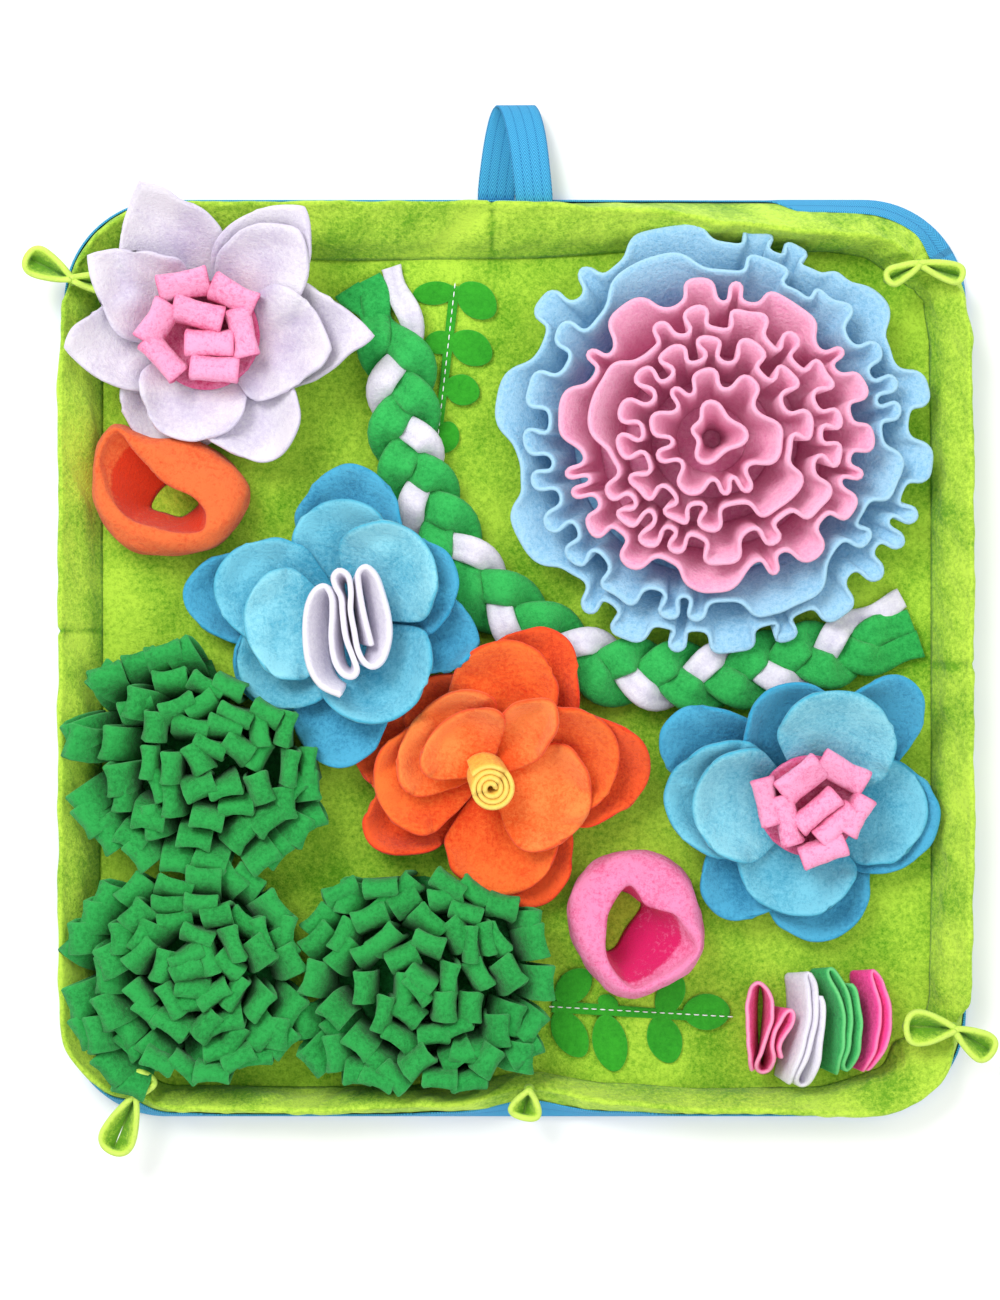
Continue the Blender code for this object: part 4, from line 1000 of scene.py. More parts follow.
def makeWhorl(flower, label, cloth, slot, rows, seed):
    stack = Stack()
    for i, row in enumerate(rows):
        grid, share, side = petalGrid(flower, *row, seed * 20 + i)
        # painted shade and light: broad lighter and darker patches, dark towards the root, along the middle vein and in
        # a hollow across the petal
        shade = Waves(seed * 30 + i, 50, 14, 5).at(grid[..., 0], grid[..., 1])
        tone = 0.5 - 1.6 * (1 - smooth(share * 1.3)) - 0.25 * np.exp(-((side / 0.12) ** 2)) * (1 - share)
        tone = tone + 0.45 * shade - 0.45 * np.exp(-(((share - 0.70) / 0.16) ** 2)) * (1 - side**2)
        stack.sheet(grid, whorls["cloth"], tone=tone)
    name = f"{flower}_{label}_petals"
    made = stack.piece(name + "_cut", cloth, [name])
    declareSheet(made, sum(row[2] for row in rows), max(row[1] for row in rows), ["base_panel_cover"])


for i, row in enumerate(whorls["rows"]):
    makeWhorl(*row, i)
print("petals laid")

# a strip loop seen from its side, one deep and one high
loopShape = np.array(
    ((-0.36, 0.0), (-0.47, 0.35), (-0.52, 0.72), (-0.36, 0.95), (0.05, 1.04), (0.40, 0.93), (0.47, 0.6), (0.42, 0.0))
)
# radius of the backing, then loops: x and y from the middle, direction, width of the strip, depth
centres = dict(
    height=16.0, lean=1.5, cloth=2.0, backing=1.8,
    lotus=(29, (
        (-10, 25, 102, 27, 12), (16, 19, 62, 26, 12), (-3, 10, 75, 27, 12), (-24, 5, 150, 24, 12),
        (-21, -13, 222, 25, 11), (20, 0, 12, 26, 12), (3, -4, 270, 26, 12), (6, -18, 266, 26, 12),
    )),
    blue_right=(27, (
        (-23, 3, 195, 26, 10), (-12, -7, 195, 27, 10), (-5, 14, 130, 26, 14), (16, 18, 62, 28, 12),
        (3, -2, 310, 27, 10), (13, -9, 312, 25, 10), (23, -4, 330, 22, 10), (6, -23, 290, 25, 11),
    )),
)


# a strip that rises from its backing, turns over and comes down again
def loopGrid(x, y, foot, direction, strip, depth, height, lean, seed, cells=(22, 8)):
    profile = curveThrough(loopShape * (depth, height), cells[0] + 1)
    u = np.linspace(-0.5, 0.5, cells[1] + 1)[None, :]
    waves = Waves(seed, 24, 7, 5)
    up = profile[:, 1:] / height
    rising = np.arange(cells[0] + 1)[:, None] < cells[0] * 0.45
    out = profile[:, :1] + lean * np.maximum(up, 0) ** 1.4 + 0.7 * waves.at(u * strip, profile[:, 1:]) * up
    out = out + 1.1 * (np.abs(2 * u) ** 3) * np.where(rising, -1, 1) * up  # the edges of the strip flare
    px, py = turned(x, y, math.radians(direction), out, u * strip * (1 - 0.10 * (1 - up)))
    return np.stack([px, py, foot(px, py) + profile[:, 1:] + 0 * u + 0.4 * waves.at(px, py) * up], 2)


def makeCentre(flower, cloth):
    cx, cy = flowers[flower]["at"]
    radius, rows = centres[flower]
    half = centres["backing"] / 2
    foot = lambda px, py: bed(flower, px, py) + half
    a, b = np.linspace(-1, 1, 21)[None, :], np.linspace(-1, 1, 21)[:, None]
    x, y = cx + radius * b * np.sqrt(1 - a * a / 2), cy + radius * a * np.sqrt(1 - b * b / 2)
    z = np.maximum(foot(x, y), lay.at(x, y) + 1.0) + 0.7 * ((x - cx) ** 2 + (y - cy) ** 2) / radius**2
    stack = Stack()
    # painted shade: the backing between the loops darker
    stack.sheet(np.stack([x, y, z], 2), centres["backing"], tone=-0.3)
    for i, (dx, dy, direction, strip, depth) in enumerate(rows):
        grid = loopGrid(cx + dx, cy + dy, foot, direction, strip, depth, centres["height"], centres["lean"], i + 90)
        up = np.clip((grid[..., 2] - grid[..., 2].min()) / 16, 0, 1)
        # painted shade: each loop dark at its foot, lighter towards its rounded top
        stack.sheet(grid, centres["cloth"], tone=1.5 * up**3 - 0.95)
    made = stack.piece(f"{flower}_loop_strips", cloth, [f"{flower}_loops"])
    declareSheet(made, 60, 8 * 42, [f"{flower}_inner_petals_cut"])


for flower in ("lotus", "blue_right"):
    makeCentre(flower, "pinkLoop")

# the ribbon's top edge about the flower's middle; its foot is drawn together
ribbon = dict(
    height=19, cloth=3.0, spread=(0.5, 0.86),
    line=(
        (-1, -43), (-11.8, -37.9), (-18.4, -27.2), (-20.7, -12.3), (-19.8, 2.5), (-16, 12.1), (-10.2, 15.4),
        (-6.5, 10), (-6, 0.9), (-6.5, -12.3), (-4.8, -23.9), (-0.5, -31.3), (5, -33.4), (7.7, -29.7), (5.0, -22),
        (1.4, -12.3), (-0.3, -0.8), (-1.3, 9.1), (-4.4, 15.7), (-5.2, 20.7), (-1.9, 23.7), (2.7, 20.7), (4.1, 12.4),
        (3.9, 2.5), (6, -9), (8, -19), (11.6, -25.5), (16.7, -28), (22, -23.5), (25.1, -12.3), (24.5, -0.8),
        (21.5, 10.8), (17.9, 20.7), (12.6, 25.6), (8.5, 23), (8.3, 17.4), (10, 5.8), (12.6, -5.7), (15.4, -16.4),
    ),
)
roll = dict(turns=3.4, inner=2.0, outer=12.3, height=19, cloth=2.6, shift=(-1, 0.5), lean=(3.5, -7.0), drop=1.5)


# height of what lies under places of a flower's centre
def footOf(flower, x, y):
    return np.maximum(bed(flower, x, y), lay.at(x, y))


def makeRibbon():
    path = curveThrough(np.array(ribbon["line"]) + flowers["blue_left"]["at"], 260)
    middle = (path.min(0) + path.max(0)) / 2
    low = middle + (path - middle) * ribbon["spread"]
    v = np.linspace(0, 1, 9)[None, :]
    waves = Waves(7, 40, 10, 5)
    share = (v**0.9)[..., None]
    foot = footOf("blue_left", low[:, 0], low[:, 1])[:, None] + 0.2
    z = foot + ribbon["height"] * v * (1 + 0.04 * waves.at(path[:, 1], path[:, 0])[:, None])
    grid = raised(low[:, None] * (1 - share) + path[:, None] * share, z)
    stack = Stack()
    # painted shade: darker at the foot, lighter towards the top edge
    stack.sheet(grid, ribbon["cloth"], tone=0.6 * v - 0.15 + 0 * z)
    made = stack.piece("blue_left_ribbon_strip", "ribbon", ["blue_left_ribbon"])
    declareSheet(made, ribbon["height"], 320, ["blue_left_inner_petals_cut"])


def makeRoll():
    cx, cy = flowers["orange"]["at"]
    t = np.linspace(0, 1, 190)
    angle = 2 * math.pi * roll["turns"] * t
    radius = roll["inner"] + (roll["outer"] - roll["inner"]) * t
    v = np.linspace(0, 1, 8)[None, :]
    x = cx + roll["shift"][0] + (radius * np.cos(angle))[:, None] * (0.92 + 0.08 * v) + roll["lean"][0] * v
    y = cy + roll["shift"][1] + (radius * np.sin(angle))[:, None] * (0.92 + 0.08 * v) + roll["lean"][1] * v
    z = footOf("orange", x[:, :1], y[:, :1]) + 0.3 + (roll["height"] - roll["drop"] * t)[:, None] * v
    stack = Stack()
    # painted shade: darker at the foot, lighter towards the top edge
    stack.sheet(np.stack([x, y, z], 2), roll["cloth"], tone=0.6 * v - 0.4 + 0 * x)
    made = stack.piece("orange_roll_strip", "yellow", ["orange_roll"])
    declareSheet(made, 19, 230, ["orange_inner_petals_cut"])


makeRibbon()
makeRoll()
print("flower centres made")

ruffles = dict(
    x=107.5, y=120.0, cloth=2.3, point=2.6, steps=150, spread=5.0, grow=0.3, depth=7.2, seed=21,
    pull=0.3, push=0.35, hold=0.3, most=0.9, easing=0.22,
    # how far the outer rings reach, by direction in degrees
    reach=((0, 125), (38, 122), (50, 108), (90, 112), (125, 116), (150, 124), (230, 122), (280, 114), (320, 120)),
    # node, radius and height of the backing, cloth, slot, width of the strip
    nodes=(
        ("ruffle_blue", 92, 0.0, "ruffleBlue", "pale_blue_fleece", 30),
        ("ruffle_pink", 67, 1.8, "rufflePink", "pink_fleece", 42),
    ),
    # node, foot radius, top radius, height, folds round, swing of the folds
    rings=(
        ("ruffle_blue", 86, 112, 19, 19, 1.8), ("ruffle_blue", 76, 96, 26, 18, 1.8),
        ("ruffle_pink", 62, 78, 33, 18, 1.85), ("ruffle_pink", 48, 62, 37, 15, 1.9),
        ("ruffle_pink", 34, 46, 39, 12, 1.85), ("ruffle_pink", 20, 30, 40, 9, 1.75),
        ("ruffle_pink", 6, 13, 40, 4, 1.6),
    ),
)


# a closed meander: its heading swings to and fro as it goes round, more for some folds than for others
def meander(top, folds, swing, chance):
    pitch = chance.choice((0.75, 0.85, 1.0, 1.3, 1.75), folds)  # tight folds among long sweeps
    size = np.where(pitch < 1.1, 1.06, np.where(pitch < 1.5, 0.92, 0.72))
    size = np.repeat(size, 2) * chance.uniform(0.88, 1.08, folds * 2)
    heading = np.sin(2 * math.pi * np.linspace(0, 1, 40, endpoint=False))
    heading = (heading.reshape(1, 2, 20) * swing * size.reshape(folds, 2, 1)).reshape(-1)
    length = np.repeat(pitch, 40)
    x, y = np.cumsum(np.cos(heading) * length), np.cumsum(np.sin(heading) * length)
    y = y - np.linspace(0, 1, len(y)) * y[-1]
    y = y - np.convolve(np.concatenate([y[-60:], y, y[:60]]), np.ones(121) / 121, "valid")
    scale = 2 * math.pi * top / (x[-1] + math.cos(heading[0]) * length[0])
    radius = top + ruffles["depth"] * np.tanh(y * scale / ruffles["depth"])
    angle = x * scale / top + chance.uniform(0, 2 * math.pi)
    return np.stack([radius * np.cos(angle), radius * np.sin(angle)], 1)


def evened(curve):
    ring = np.concatenate([curve, curve[:1]])
    run = runOf(ring)
    places = np.linspace(0, run[-1], int(run[-1] / ruffles["point"]), endpoint=False)
    return np.stack([np.interp(places, run, ring[:, c]) for c in (0, 1)], 1)


# how far the ruffle reaches in a direction, as a share of its usual reach
def reachShare(degrees):
    return aroundTable(ruffles["reach"], degrees, 1) / 123


# lets the folds of all the rings push each other apart until none touch
def growRuffles():
    chance = np.random.default_rng(ruffles["seed"])
    curves = [evened(meander(top, folds, swing, chance)) for _, _, top, _, folds, swing in ruffles["rings"]]
    counts = [len(curve) for curve in curves]
    starts = np.cumsum([0] + counts[:-1])
    following = np.concatenate([s + (np.arange(n) + 1) % n for s, n in zip(starts, counts)])
    before = np.concatenate([s + (np.arange(n) - 1) % n for s, n in zip(starts, counts)])
    owner = np.repeat(np.arange(len(counts)), counts)
    place = np.concatenate([np.arange(n) for n in counts])
    size = np.array(counts)[owner]
    p, top = np.concatenate(curves), np.array([float(ring[2]) for ring in ruffles["rings"]])[owner]
    for step in range(ruffles["steps"]):
        if step % 8 == 0:
            far = ((p[:, None] - p[None]) ** 2).sum(-1)
            a, b = np.nonzero(np.triu(far < (ruffles["spread"] + 5) ** 2, 1))
            apart = np.abs(place[a] - place[b])
            apart = np.minimum(apart, size[a] - apart)
            keep = (owner[a] != owner[b]) | (apart > 3)
            a, b = a[keep], b[keep]
        after = p[following] - p
        length = np.linalg.norm(after, axis=1, keepdims=True)
        wanted = (1 + ruffles["grow"] * float(smooth(step / 90))) * ruffles["point"]
        pull = ruffles["pull"] * after * (1 - wanted / np.maximum(length, 1e-6))
        move = pull - pull[before]
        gap = p[a] - p[b]
        d = np.linalg.norm(gap, axis=1) + 1e-6
        push = gap / d[:, None] * (np.clip(ruffles["spread"] - d, 0, 2.0) * ruffles["push"])[:, None]
        np.add.at(move, a, push)
        np.add.at(move, b, -push)
        radius = np.linalg.norm(p, axis=1)
        held = reachShare(np.degrees(np.arctan2(p[:, 1], p[:, 0])))
        outer = top * np.where(top > 70, held, 1) + 13
        beyond = np.maximum(radius - outer, 0) + np.minimum(radius - (top - 14), 0)
        move -= ruffles["hold"] * (beyond / np.maximum(radius, 1))[:, None] * p
        p = p + np.clip(move, -ruffles["most"], ruffles["most"])
        p = p + ruffles["easing"] * ((p[following] + p[before]) / 2 - p)
    for _ in range(2):
        p = (p + (p[following] + p[before]) / 2) / 2
    return [p[s : s + n] for s, n in zip(starts, counts)]


# directions in which the foot of a ring stands: evenly spaced, drifting with the folds above
def footAngles(curve, run):
    angle = math.atan2(curve[0, 1], curve[0, 0]) + 2 * math.pi * run[:-1] / run[-1]
    drift = np.unwrap(np.arctan2(curve[:, 1], curve[:, 0])) - np.unwrap(angle)
    kernel = np.hanning(61) / np.hanning(61).sum()
    return angle + np.convolve(np.concatenate([drift[-30:], drift, drift[:30]]), kernel, "valid")


# one ring's wall, from its foot on the backing out to the folded top edge
def ringGrid(curve, run, low, foot, top, height):
    angle = footAngles(curve, run)
    r = foot * (1 - (1 - reachShare(np.degrees(angle))) * 0.3)
    feet = np.stack([r * np.cos(angle), r * np.sin(angle)], 1)
    v = np.linspace(0, 1, 12)[None, :]
    share = (v**1.35)[..., None]
    xy = feet[:, None] * (1 - share) + curve[:, None] * share
    droop = (np.linalg.norm(curve, axis=1) - top) / 9 * (0.10 if top > 90 else 0.06)
    z = low + 0.9 + height * (v * (1 - droop[:, None] * v**2))
    z = z + 0.5 * Waves(int(top), 40, 9, 5).at(xy[..., 0], xy[..., 1]) * v
    # painted shade: the wall darker low down, lighter towards its top edge
    return raised(xy + (ruffles["x"], ruffles["y"]), z), 0.5 * v**0.8 - 0.1 + 0 * z


def makeRuffles():
    curves = growRuffles()
    t = allRound(72)
    for node, radius, up, cloth, slot, strip in ruffles["nodes"]:
        low = base["foot"] + up
        stack = Stack()
        disc = [
            np.stack([ruffles["x"] + r * np.cos(t), ruffles["y"] + r * np.sin(t), 0 * t + low + h], 1)
            for r, h in ((0.5, 0), (radius, 0), (radius + 0.5, 0.75), (radius, 1.5), (0.5, 1.5))
        ]
        # painted shade: the backing under the rings darker
        stack.tube(np.array(disc), tone=-0.3)
        length = 0.0
        for (owner, foot, top, height, *_), curve in zip(ruffles["rings"], curves):
            if owner == node:
                run = runOf(np.concatenate([curve, curve[:1]]))
                grid, tone = ringGrid(curve, run, low, foot, top, height)
                stack.sheet(grid, ruffles["cloth"], wrapRows=True, tone=tone)
                length += run[-1]
        made = stack.piece(node + "_gathered", cloth, [node])
        declareSheet(made, strip, length, ["base_panel_cover"])


makeRuffles()
print("ruffles gathered")

# outlines about the middle: the belly, the lip of the mouth, and the hole at the floor
tubes = {
    "tube_orange": dict(
        at=(-183.5, 89.0), height=27, cloth="tubeOrange", slot="orange_fleece",
        belly=((39, -0.7), (36.3, 8.9), (26.7, 19.9), (8.8, 29.5), (-11.8, 30.9), (-31, 37.8), (-38, 34.5), (-43.4, 24),
               (-46.2, 10.3), (-44.8, -7.6), (-35.2, -22.7), (-21.4, -31.6), (0.6, -33), (19.8, -28.2), (32.2, -15.8)),
        lip=((14.5, -7.5), (8.5, -1.5), (-1, 2.5), (-8, 7), (-16, 15.5), (-23.5, 25), (-30.5, 33), (-36.5, 29.5),
             (-40.5, 17.2), (-38.5, 8), (-34.7, -2.1), (-25.6, -13), (-10.4, -19), (4, -21.5), (14.3, -20),
             (16.5, -13)),
        hole=((10.2, -4.1), (12, 5), (2, 10), (-9, 5), (-15.9, -6.2), (-8, -9), (1, -11)),
    ),
    "tube_pink": dict(
        at=(64.6, -144.0), height=30, cloth="tubePink", slot="hot_pink_fleece",
        belly=((37.8, -11.1), (37.1, 2.6), (30.3, 23.2), (19.3, 34.2), (5.5, 39.2), (-11, 38), (-23.4, 31.5),
               (-33, 19.1), (-36.4, 5.4), (-33, -11.1), (-24.8, -24.9), (-13.8, -37), (0, -41), (16.5, -34.5),
               (30.3, -24.9)),
        lip=((33, -10.5), (23, 4.4), (13, 8.5), (5.5, 11.4), (0, 19), (-4, 21.5), (-9.6, 15.7), (-14.4, 5.4),
             (-15.8, -8), (-15, -18), (-9.5, -27), (-1.4, -34), (10, -29.5), (28.5, -18)),
        hole=((-3, -3), (4.1, 9.5), (-9, 16), (-17, 10), (-20, -2), (-17, -15), (-10.5, -15)),
    ),
}


# shares of belly, lip and hole, then outward millimetres and share of the height
sleeve = dict(
    points=120, rows=32, inside=18, puff=1.3, uneven=1.4,
    profile=(
        (0.90, 0, 0.1, 0, 0.0), (0.98, 0.02, 0, 0, 0.14), (1, 0, 0, 0, 0.38), (0.93, 0.07, 0, 0, 0.74),
        (0.62, 0.38, 0, 0, 0.94), (0.2, 0.8, 0, 1.5, 1.01), (0, 1, 0, 1.2, 1.0), (0, 1, 0, -0.2, 0.93),
        (0, 0.92, 0.08, 0, 0.76), (0, 0.5, 0.5, 0, 0.38), (0, 0, 1, 0, 0.0),
    ),
)


# a short sleeve of doubled fleece: up outside, over, and down to its mouth
def makeTube(name, row, seed):
    height, foot, count = row["height"], base["foot"], sleeve["points"]
    belly, lip, hole = (curveThrough(row[key], count, closed=True) for key in ("belly", "lip", "hole"))
    away = unit(belly - lip)
    corners = [
        raised(b * belly + c * lip + d * hole + push * away, np.full(count, foot + height * up))
        for b, c, d, push, up in sleeve["profile"]
    ]
    fine = np.array([curveThrough(line, sleeve["rows"]) for line in np.stack(corners, axis=1)])
    x, y, z = fine[..., 0], fine[..., 1], fine[..., 2]
    waves = Waves(seed, 34, 8, 6)
    rise = (z - foot) / height
    puff = sleeve["puff"] * waves.at(x * 0.8 + z, y * 0.8) * np.sin(math.pi * np.clip(rise * 0.8 + 0.1, 0, 1))
    inside = np.arange(sleeve["rows"]) > sleeve["inside"]
    # painted shade and light: the inside dark down to the mouth, lighter near the lip; the outside lighter up its
    # height and on the puffs
    tone = np.where(inside, -1.3 + 1.6 * np.clip(rise, 0, 1) ** 5, -0.5 + 1.1 * rise) + 0.2 * puff
    xy = np.array(row["at"]) + fine[:, :, :2] + away[:, None] * puff[..., None]
    stack = Stack()
    stack.tube(raised(xy, z + sleeve["uneven"] * waves.at(x, y) * rise**2), closed=True, tone=tone)
    made = stack.piece(name + "_sleeve", row["cloth"], [name])
    declareSheet(made, 2 * height + 8, 2 * math.pi * 36, ["base_panel_cover"])


for i, (name, row) in enumerate(tubes.items()):
    makeTube(name, row, 31 + i)
print("tubes sewn")

# height, how far the top edge leans over its foot, cloth, slot, and the top edge's line
tabs = {
    "tab_pink": (24, 1.5, "tabPink", "pink_fleece", (
        (128.5, -224), (126, -208), (125.4, -190), (128, -180), (132.5, -176.6), (137, -180), (139.3, -187.5),
        (138, -197), (135, -208.6), (131.8, -217), (131.4, -222.5), (134.2, -225.2), (138.4, -223.4), (140, -217.5),
        (139.6, -208.6), (141, -200.5), (144.8, -193.6), (148.4, -190.4), (150.6, -192.6), (149, -198.4),
        (144.8, -205.6), (143.4, -211), (144, -216.4),
    )),
    "tab_white": (27, 9.0, "ribbon", "white_fleece", (
        (149.2, -231), (153, -217.4), (156.9, -204.8), (159.0, -191), (158.6, -179.5), (157.6, -172.6), (160, -171.6),
        (162.8, -178), (162.8, -191), (160.5, -206), (156.8, -217.4), (153.4, -228), (155.4, -232), (160.6, -229.5),
        (164, -217.4), (166.2, -200), (167.0, -188), (165.4, -182.7),
    )),
    "tab_green": (25, 9.5, "tabGreen", "grass_fleece", (
        (174.6, -225.9), (177, -211.1), (177.4, -193), (174.9, -182), (170.4, -173.3), (169.8, -169.6), (173.0, -169.6),
        (178.2, -177.0), (181.2, -187.1), (181.4, -197), (180.2, -211.1), (178.4, -221), (180.6, -223.4), (184.4, -218),
        (186.3, -208), (186.4, -193.4), (184.6, -180.6), (182, -176.6),
    )),
    "tab_hot_pink": (23, 10.0, "hotPink", "hot_pink_fleece", (
        (188.9, -224.6), (195.1, -211.1), (197.4, -195.3), (196.2, -182.7), (193.6, -173), (195.2, -170.2),
        (199.2, -175.6), (202.6, -189), (203.1, -200), (201.1, -209.5), (194.8, -220.6), (191.4, -224.2),
    )),
}


folded = dict(cloth=2.2, points=150, lower=0.42, uneven=0.6, foot=(0.7, 0.92), openFoot=(0.35, 0.92))


def makeTab(name, height, lean, cloth, slot, line):
    top = curveThrough(line, folded["points"])
    middle = (top.min(0) + top.max(0)) / 2
    away = np.abs(top[:, 1] - middle[1]) / np.ptp(top[:, 1]) * 2
    drawn = folded["openFoot" if name == "tab_pink" else "foot"]
    foot = middle + (top - middle) * np.array(drawn) - np.array((lean, 0.0))
    v = np.linspace(0, 1, 10)[None, :]
    waves = Waves(int(height * 3), 30, 10, 5)
    share = (v**1.15)[..., None]
    xy = foot[:, None] * (1 - share) + top[:, None] * share
    aside = folded["uneven"] * waves.at(xy[..., 0] * 0.6, xy[..., 1])[..., None] * v[..., None]
    z = base["foot"] + 0.2 + (height * (1 - folded["lower"] * np.minimum(away, 1.0) ** 3))[:, None] * v
    stack = Stack()
    # painted shade: darker at the foot, lighter towards the top edge
    stack.sheet(raised(xy + aside * np.array((1.0, 0.0)), z), folded["cloth"], tone=1.0 * v - 0.6 + 0 * z)
    made = stack.piece(name + "_folded", cloth, [name])
    run = np.linalg.norm(np.diff(top, axis=0), axis=1).sum()
    declareSheet(made, height, run, ["base_panel_cover"])


for name, row in tabs.items():
    makeTab(name, *row)

# stem ends and width, end of the stitches, then leaves: x, y, length, width, turn
sprigs = {
    "leaf_sprig_top": (
        ((-33, 204), (-42, 124), 5.5), (-42, 124),
        ((-44, 200, 24, 13, 4), (-21, 196, 25, 19, -40), (-41, 173, 18, 13, 5), (-24, 170, 25, 19, -30),
         (-29, 147, 20, 17, -20), (-38, 121, 18, 15, 70)),
    ),
    "leaf_sprig_bottom": (
        ((20, -191), (110, -197), 6.5), (118.0, -196.5),
        ((32, -180, 24, 17, 42), (30, -206, 29, 18, -58), (51, -189, 9, 12, 62), (52, -211, 32, 19, -78),
         (85, -185, 24, 15, 62), (82, -209, 27, 19, -72), (105, -194, 26, 20, 0)),
    ),
}


# a flat felt shape inside a ring of points, its edge rounded
def addFelt(stack, ring, low):
    centre = ring.mean(0)
    rows = ((0.02, 0.0), (0.97, 0.0), (1.0, 0.35), (1.0, 1.05), (0.975, 1.45), (0.93, 1.6), (0.5, 1.65), (0.02, 1.6))
    sections = [raised(centre + (ring - centre) * share, np.full(len(ring), low + up)) for share, up in rows]
    stack.tube(np.array(sections), edge=np.array([0, 0.6, 1, 1, 0.7, 0.2, 0, 0])[:, None] + np.zeros((1, len(ring))))


def makeSprig(name, stem, stitched, leaves):
    stack = Stack()
    low = base["foot"]
    start, end, width = np.array(stem[0]), np.array(stem[1]), stem[2]
    along = np.linspace(0, 1, 20)[:, None]
    ahead = end - start
    side = np.array((-ahead[1], ahead[0])) / math.hypot(*ahead)
    line = start + along * ahead
    half = width / 2 * (1 - 0.2 * along) * side
    addFelt(stack, np.concatenate([line + half, (line - half)[::-1]]), low)
    t = allRound(40)
    for x, y, length, wide, turn in leaves:
        across = wide / 2 * np.sin(t) * (1 - 0.12 * np.cos(t) ** 2)
        addFelt(stack, np.stack(turned(x, y, math.radians(turn), length / 2 * np.cos(t), across), 1), low + 0.02)
    made = stack.piece(name + "_felt", "sprig", [name])
    declareSheet(made, 90, 60, ["base_panel_cover"])
    first, last = np.array((*start, low + 1.75)), np.array((*stitched, low + 1.75))
    stitches(name + "_stitches", [first, (first + last) / 2, last], "thread")


for name, row in sprigs.items():
    makeSprig(name, *row)
print("tabs and leaves sewn")

grass = dict(
    # middle, half widths, where the rings start
    clumps={
        "grass_upper_left": (-166.5, -53.5, 62, 56, 0.0),
        "grass_lower_left": (-176.0, -173.0, 54, 54, 0.5),
        "grass_lower_middle": (-49.5, -175.0, 60, 59, 0.2),
    },
    covered=6.5, besideRim=(-205, -209), corner=28,
    # share of the clump, loops, lean of a loop, height
    rings=((0.06, 2, 1, 30), (0.30, 6, 2, 30), (0.54, 12, 4, 30), (0.78, 19, 8, 30), (1.02, 26, 12, 30)),
    leans=(-1.0, 2.0, 4.5, 8.0, 12.0, 16.0), swing=0.62, shift=2.6,
    strip=17.5, depth=8.6, tall=28.0, cloth=2.3, seed=5,
    # how the forms differ: depth, width, twist in degrees, tone
    kinds=((1.0, 1.0, 0, 0.15), (1.25, 0.94, 22, -0.1), (0.85, 1.06, -22, 0.05)),
)


# the same strip loop in every lean and form
def grassShapes():
    meshes = []
    for lean in grass["leans"]:
        for deep, wide, degrees, tint in grass["kinds"]:
            kind = len(meshes)
            stack = Stack()
            grid = loopGrid(
                0, 0, lambda x, y: 0 * x, 0, grass["strip"] * wide, grass["depth"] * deep, grass["tall"], lean,
                200 + kind, (11, 3),
            )
            x, y, z = grid[..., 0], grid[..., 1], grid[..., 2]
            up = np.clip(z / grass["tall"], 0, 1)
            twist = math.radians(degrees) * up**1.5
            across, along = x * np.cos(twist) - y * np.sin(twist), x * np.sin(twist) + y * np.cos(twist)
            grid = np.stack([across, along, z - 0.012 * lean**2 * up], axis=2)
            # painted shade: the loop dark at its foot, lighter over its top, plus a small tint that differs by form
            stack.sheet(grid, grass["cloth"], tone=1.15 * up**2.2 - 0.85 + tint)
            meshes.append(stack.mesh(f"grass_loop_{kind}"))
    return shapeSet("grass_loop_shapes", meshes)


# whether a petal, or anything else laid before, is over this place
def underPetal(x, y, around=1.0):
    turns = allRound(8)
    return lay.at(x + around * np.cos(turns), y + around * np.sin(turns)).max() > grass["covered"]


# a circle's share of a side, drawn towards the corners
def squared(part):
    return math.copysign(abs(part) ** 0.78, part)


# one loop's place, turn, stretch and kind, or None where it would lie under a petal or in the mat's corner
def grassSpot(x, y, halfX, halfY, t, share, lean, height, chance):
    wobble = chance.uniform(-1, 1, 6)
    px = x + (halfX - 9) * share * squared(math.cos(t)) + grass["shift"] * wobble[0]
    py = y + (halfY - 9) * share * squared(math.sin(t)) + grass["shift"] * wobble[1]
    inCorner = px < -sideX and py < -sideY and math.hypot(px + sideX, py + sideY) > grass["corner"]
    if underPetal(px, py) or inCorner:
        return None
    pushed = float(smooth(1 - (min(px - grass["besideRim"][0], py - grass["besideRim"][1]) + 8) / 10))
    turn = math.atan2(py - y, px - x) + grass["swing"] * wobble[2] * (1.6 - share)
    wanted = lean + 2.5 * wobble[4] + 4.0 * pushed
    tip = 10 + wanted
    if px > -200 and underPetal(px + tip * math.cos(turn), py + tip * math.sin(turn), 2.0):
        wanted = 1.0
    step = int(np.argmin(np.abs(np.array(grass["leans"]) - wanted)))
    tall = (height + 3.0 * wobble[3] + 4.5 * pushed) / grass["tall"]
    kind = step * len(grass["kinds"]) + int(chance.integers(len(grass["kinds"])))
    return (
        (px, py, base["foot"] + 0.7), (0.10 * wobble[5], 0.06 * wobble[4], turn),
        (1.0, 1.0 + 0.06 * wobble[0], tall), kind,
    )


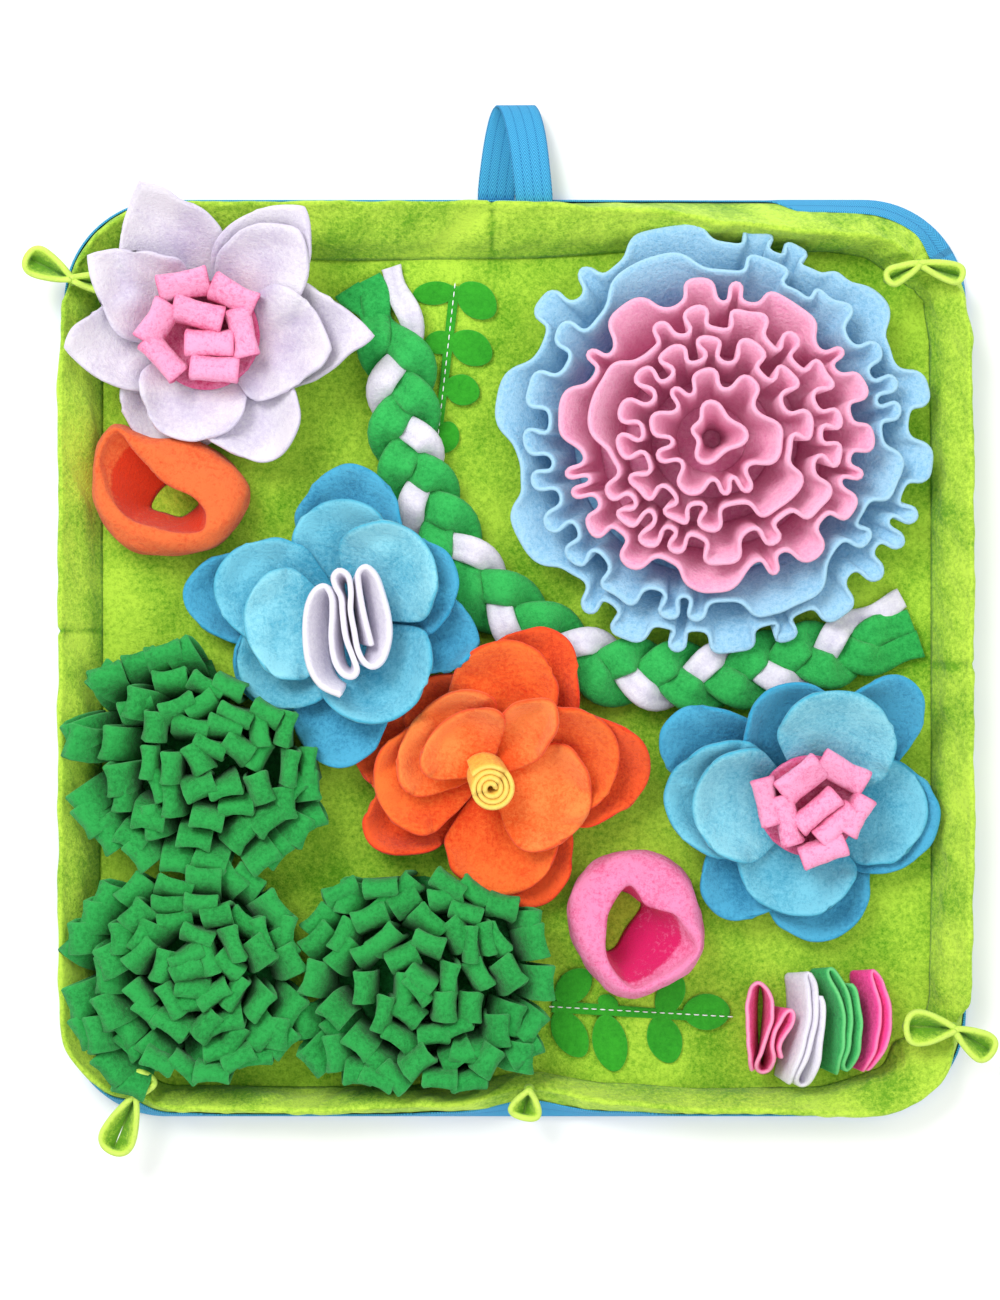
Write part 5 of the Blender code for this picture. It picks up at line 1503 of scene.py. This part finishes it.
def makeGrass(name, shapes, x, y, halfX, halfY, phase):
    chance = np.random.default_rng(grass["seed"] + int(abs(x)))
    spots = [
        grassSpot(x, y, halfX, halfY, 2 * math.pi * (i + phase + 3.7 * share) / count, share, lean, height, chance)
        for share, count, lean, height in grass["rings"]
        for i in range(count)
    ]
    spots = [spot for spot in spots if spot]
    made = placePiece(copiesOf(name + "_loops", shapes, spots, "grass"), [name])
    declareSheet(made, grass["strip"] * len(spots), 64, ["base_panel_cover"])
    ring = []
    for i in range(48):  # the backing ends short of what lies beside it
        t, reach = 2 * math.pi * i / 48, 0.94
        while underPetal(x + halfX * reach * math.cos(t), y + halfY * reach * math.sin(t), 9.0) and reach > 0.1:
            reach -= 0.02
        ring.append((x + halfX * reach * math.cos(t), y + halfY * reach * math.sin(t)))
    ring, centre = np.array(ring), np.array((x, y))
    sections = [
        raised(centre + (ring - centre) * share, np.full(48, base["foot"] + up))
        for share, up in ((0.02, 0.0), (1.0, 0.0), (1.0, 1.4), (0.02, 1.4))
    ]
    stack = Stack()
    # painted shade: the backing under the loops darker
    stack.tube(np.array(sections), tone=-0.6)
    backing = stack.piece(name + "_backing", "grass", [name])
    declareSheet(backing, 2 * halfX, 2 * halfY, ["base_panel_cover"])


shapes = grassShapes()
for name, row in grass["clumps"].items():
    makeGrass(name, shapes, *row)
print("grass loops placed")


# metres and watts; the camera's picture is as many pixels high, at so many millimetres each
stage = dict(
    floor=3.0, paper=0.93, world=0.8,
    lamps=(("key", (-0.9, 1.1, 1.7), 1.0, 31), ("fill", (1.2, 0.3, 1.6), 1.6, 8), ("front", (0.2, -1.4, 1.4), 1.4, 7)),
    camera=(-0.00825, 0.0044, 1.6), sensor=36.0, pixels=1300, scale=0.55,
)


# a pale floor, soft lights from above and a camera straight over the mat
def makeStage():
    scene = bpy.context.scene
    link = scene.collection.objects.link
    size = stage["floor"]
    mesh = bpy.data.meshes.new("floor")
    mesh.from_pydata([(-size, -size, 0), (size, -size, 0), (size, size, 0), (-size, size, 0)], [], [(0, 1, 2, 3)])
    paper = Cloth("pale_paper")
    paper.shader.inputs["Base Color"].default_value = (stage["paper"],) * 3 + (1,)
    paper.shader.inputs["Roughness"].default_value = 0.9
    mesh.materials.append(paper.material)
    floor = bpy.data.objects.new("floor", mesh)
    link(floor)
    world = bpy.data.worlds.new("studio")
    world.use_nodes = True
    world.node_tree.nodes["Background"].inputs["Color"].default_value = (1, 1, 1, 1)
    world.node_tree.nodes["Background"].inputs["Strength"].default_value = stage["world"]
    scene.world = world
    scene.view_settings.view_transform = "Standard"
    for name, place, size, power in stage["lamps"]:
        lamp = bpy.data.lights.new(name, "AREA")
        lamp.size, lamp.energy = size, power
        light = bpy.data.objects.new(name, lamp)
        light.location = place
        x, y, z = place
        light.rotation_euler = (math.atan2(math.hypot(x, y), z), 0, math.atan2(-y, -x) - math.pi / 2)
        link(light)
    view = bpy.data.cameras.new("camera")
    view.sensor_fit, view.sensor_height = "VERTICAL", stage["sensor"]
    view.lens = stage["sensor"] * stage["camera"][2] / mm / (stage["pixels"] * stage["scale"])
    camera = bpy.data.objects.new("camera", view)
    camera.location = stage["camera"]
    link(camera)
    scene.camera = camera


makeStage()
print("mat finished")
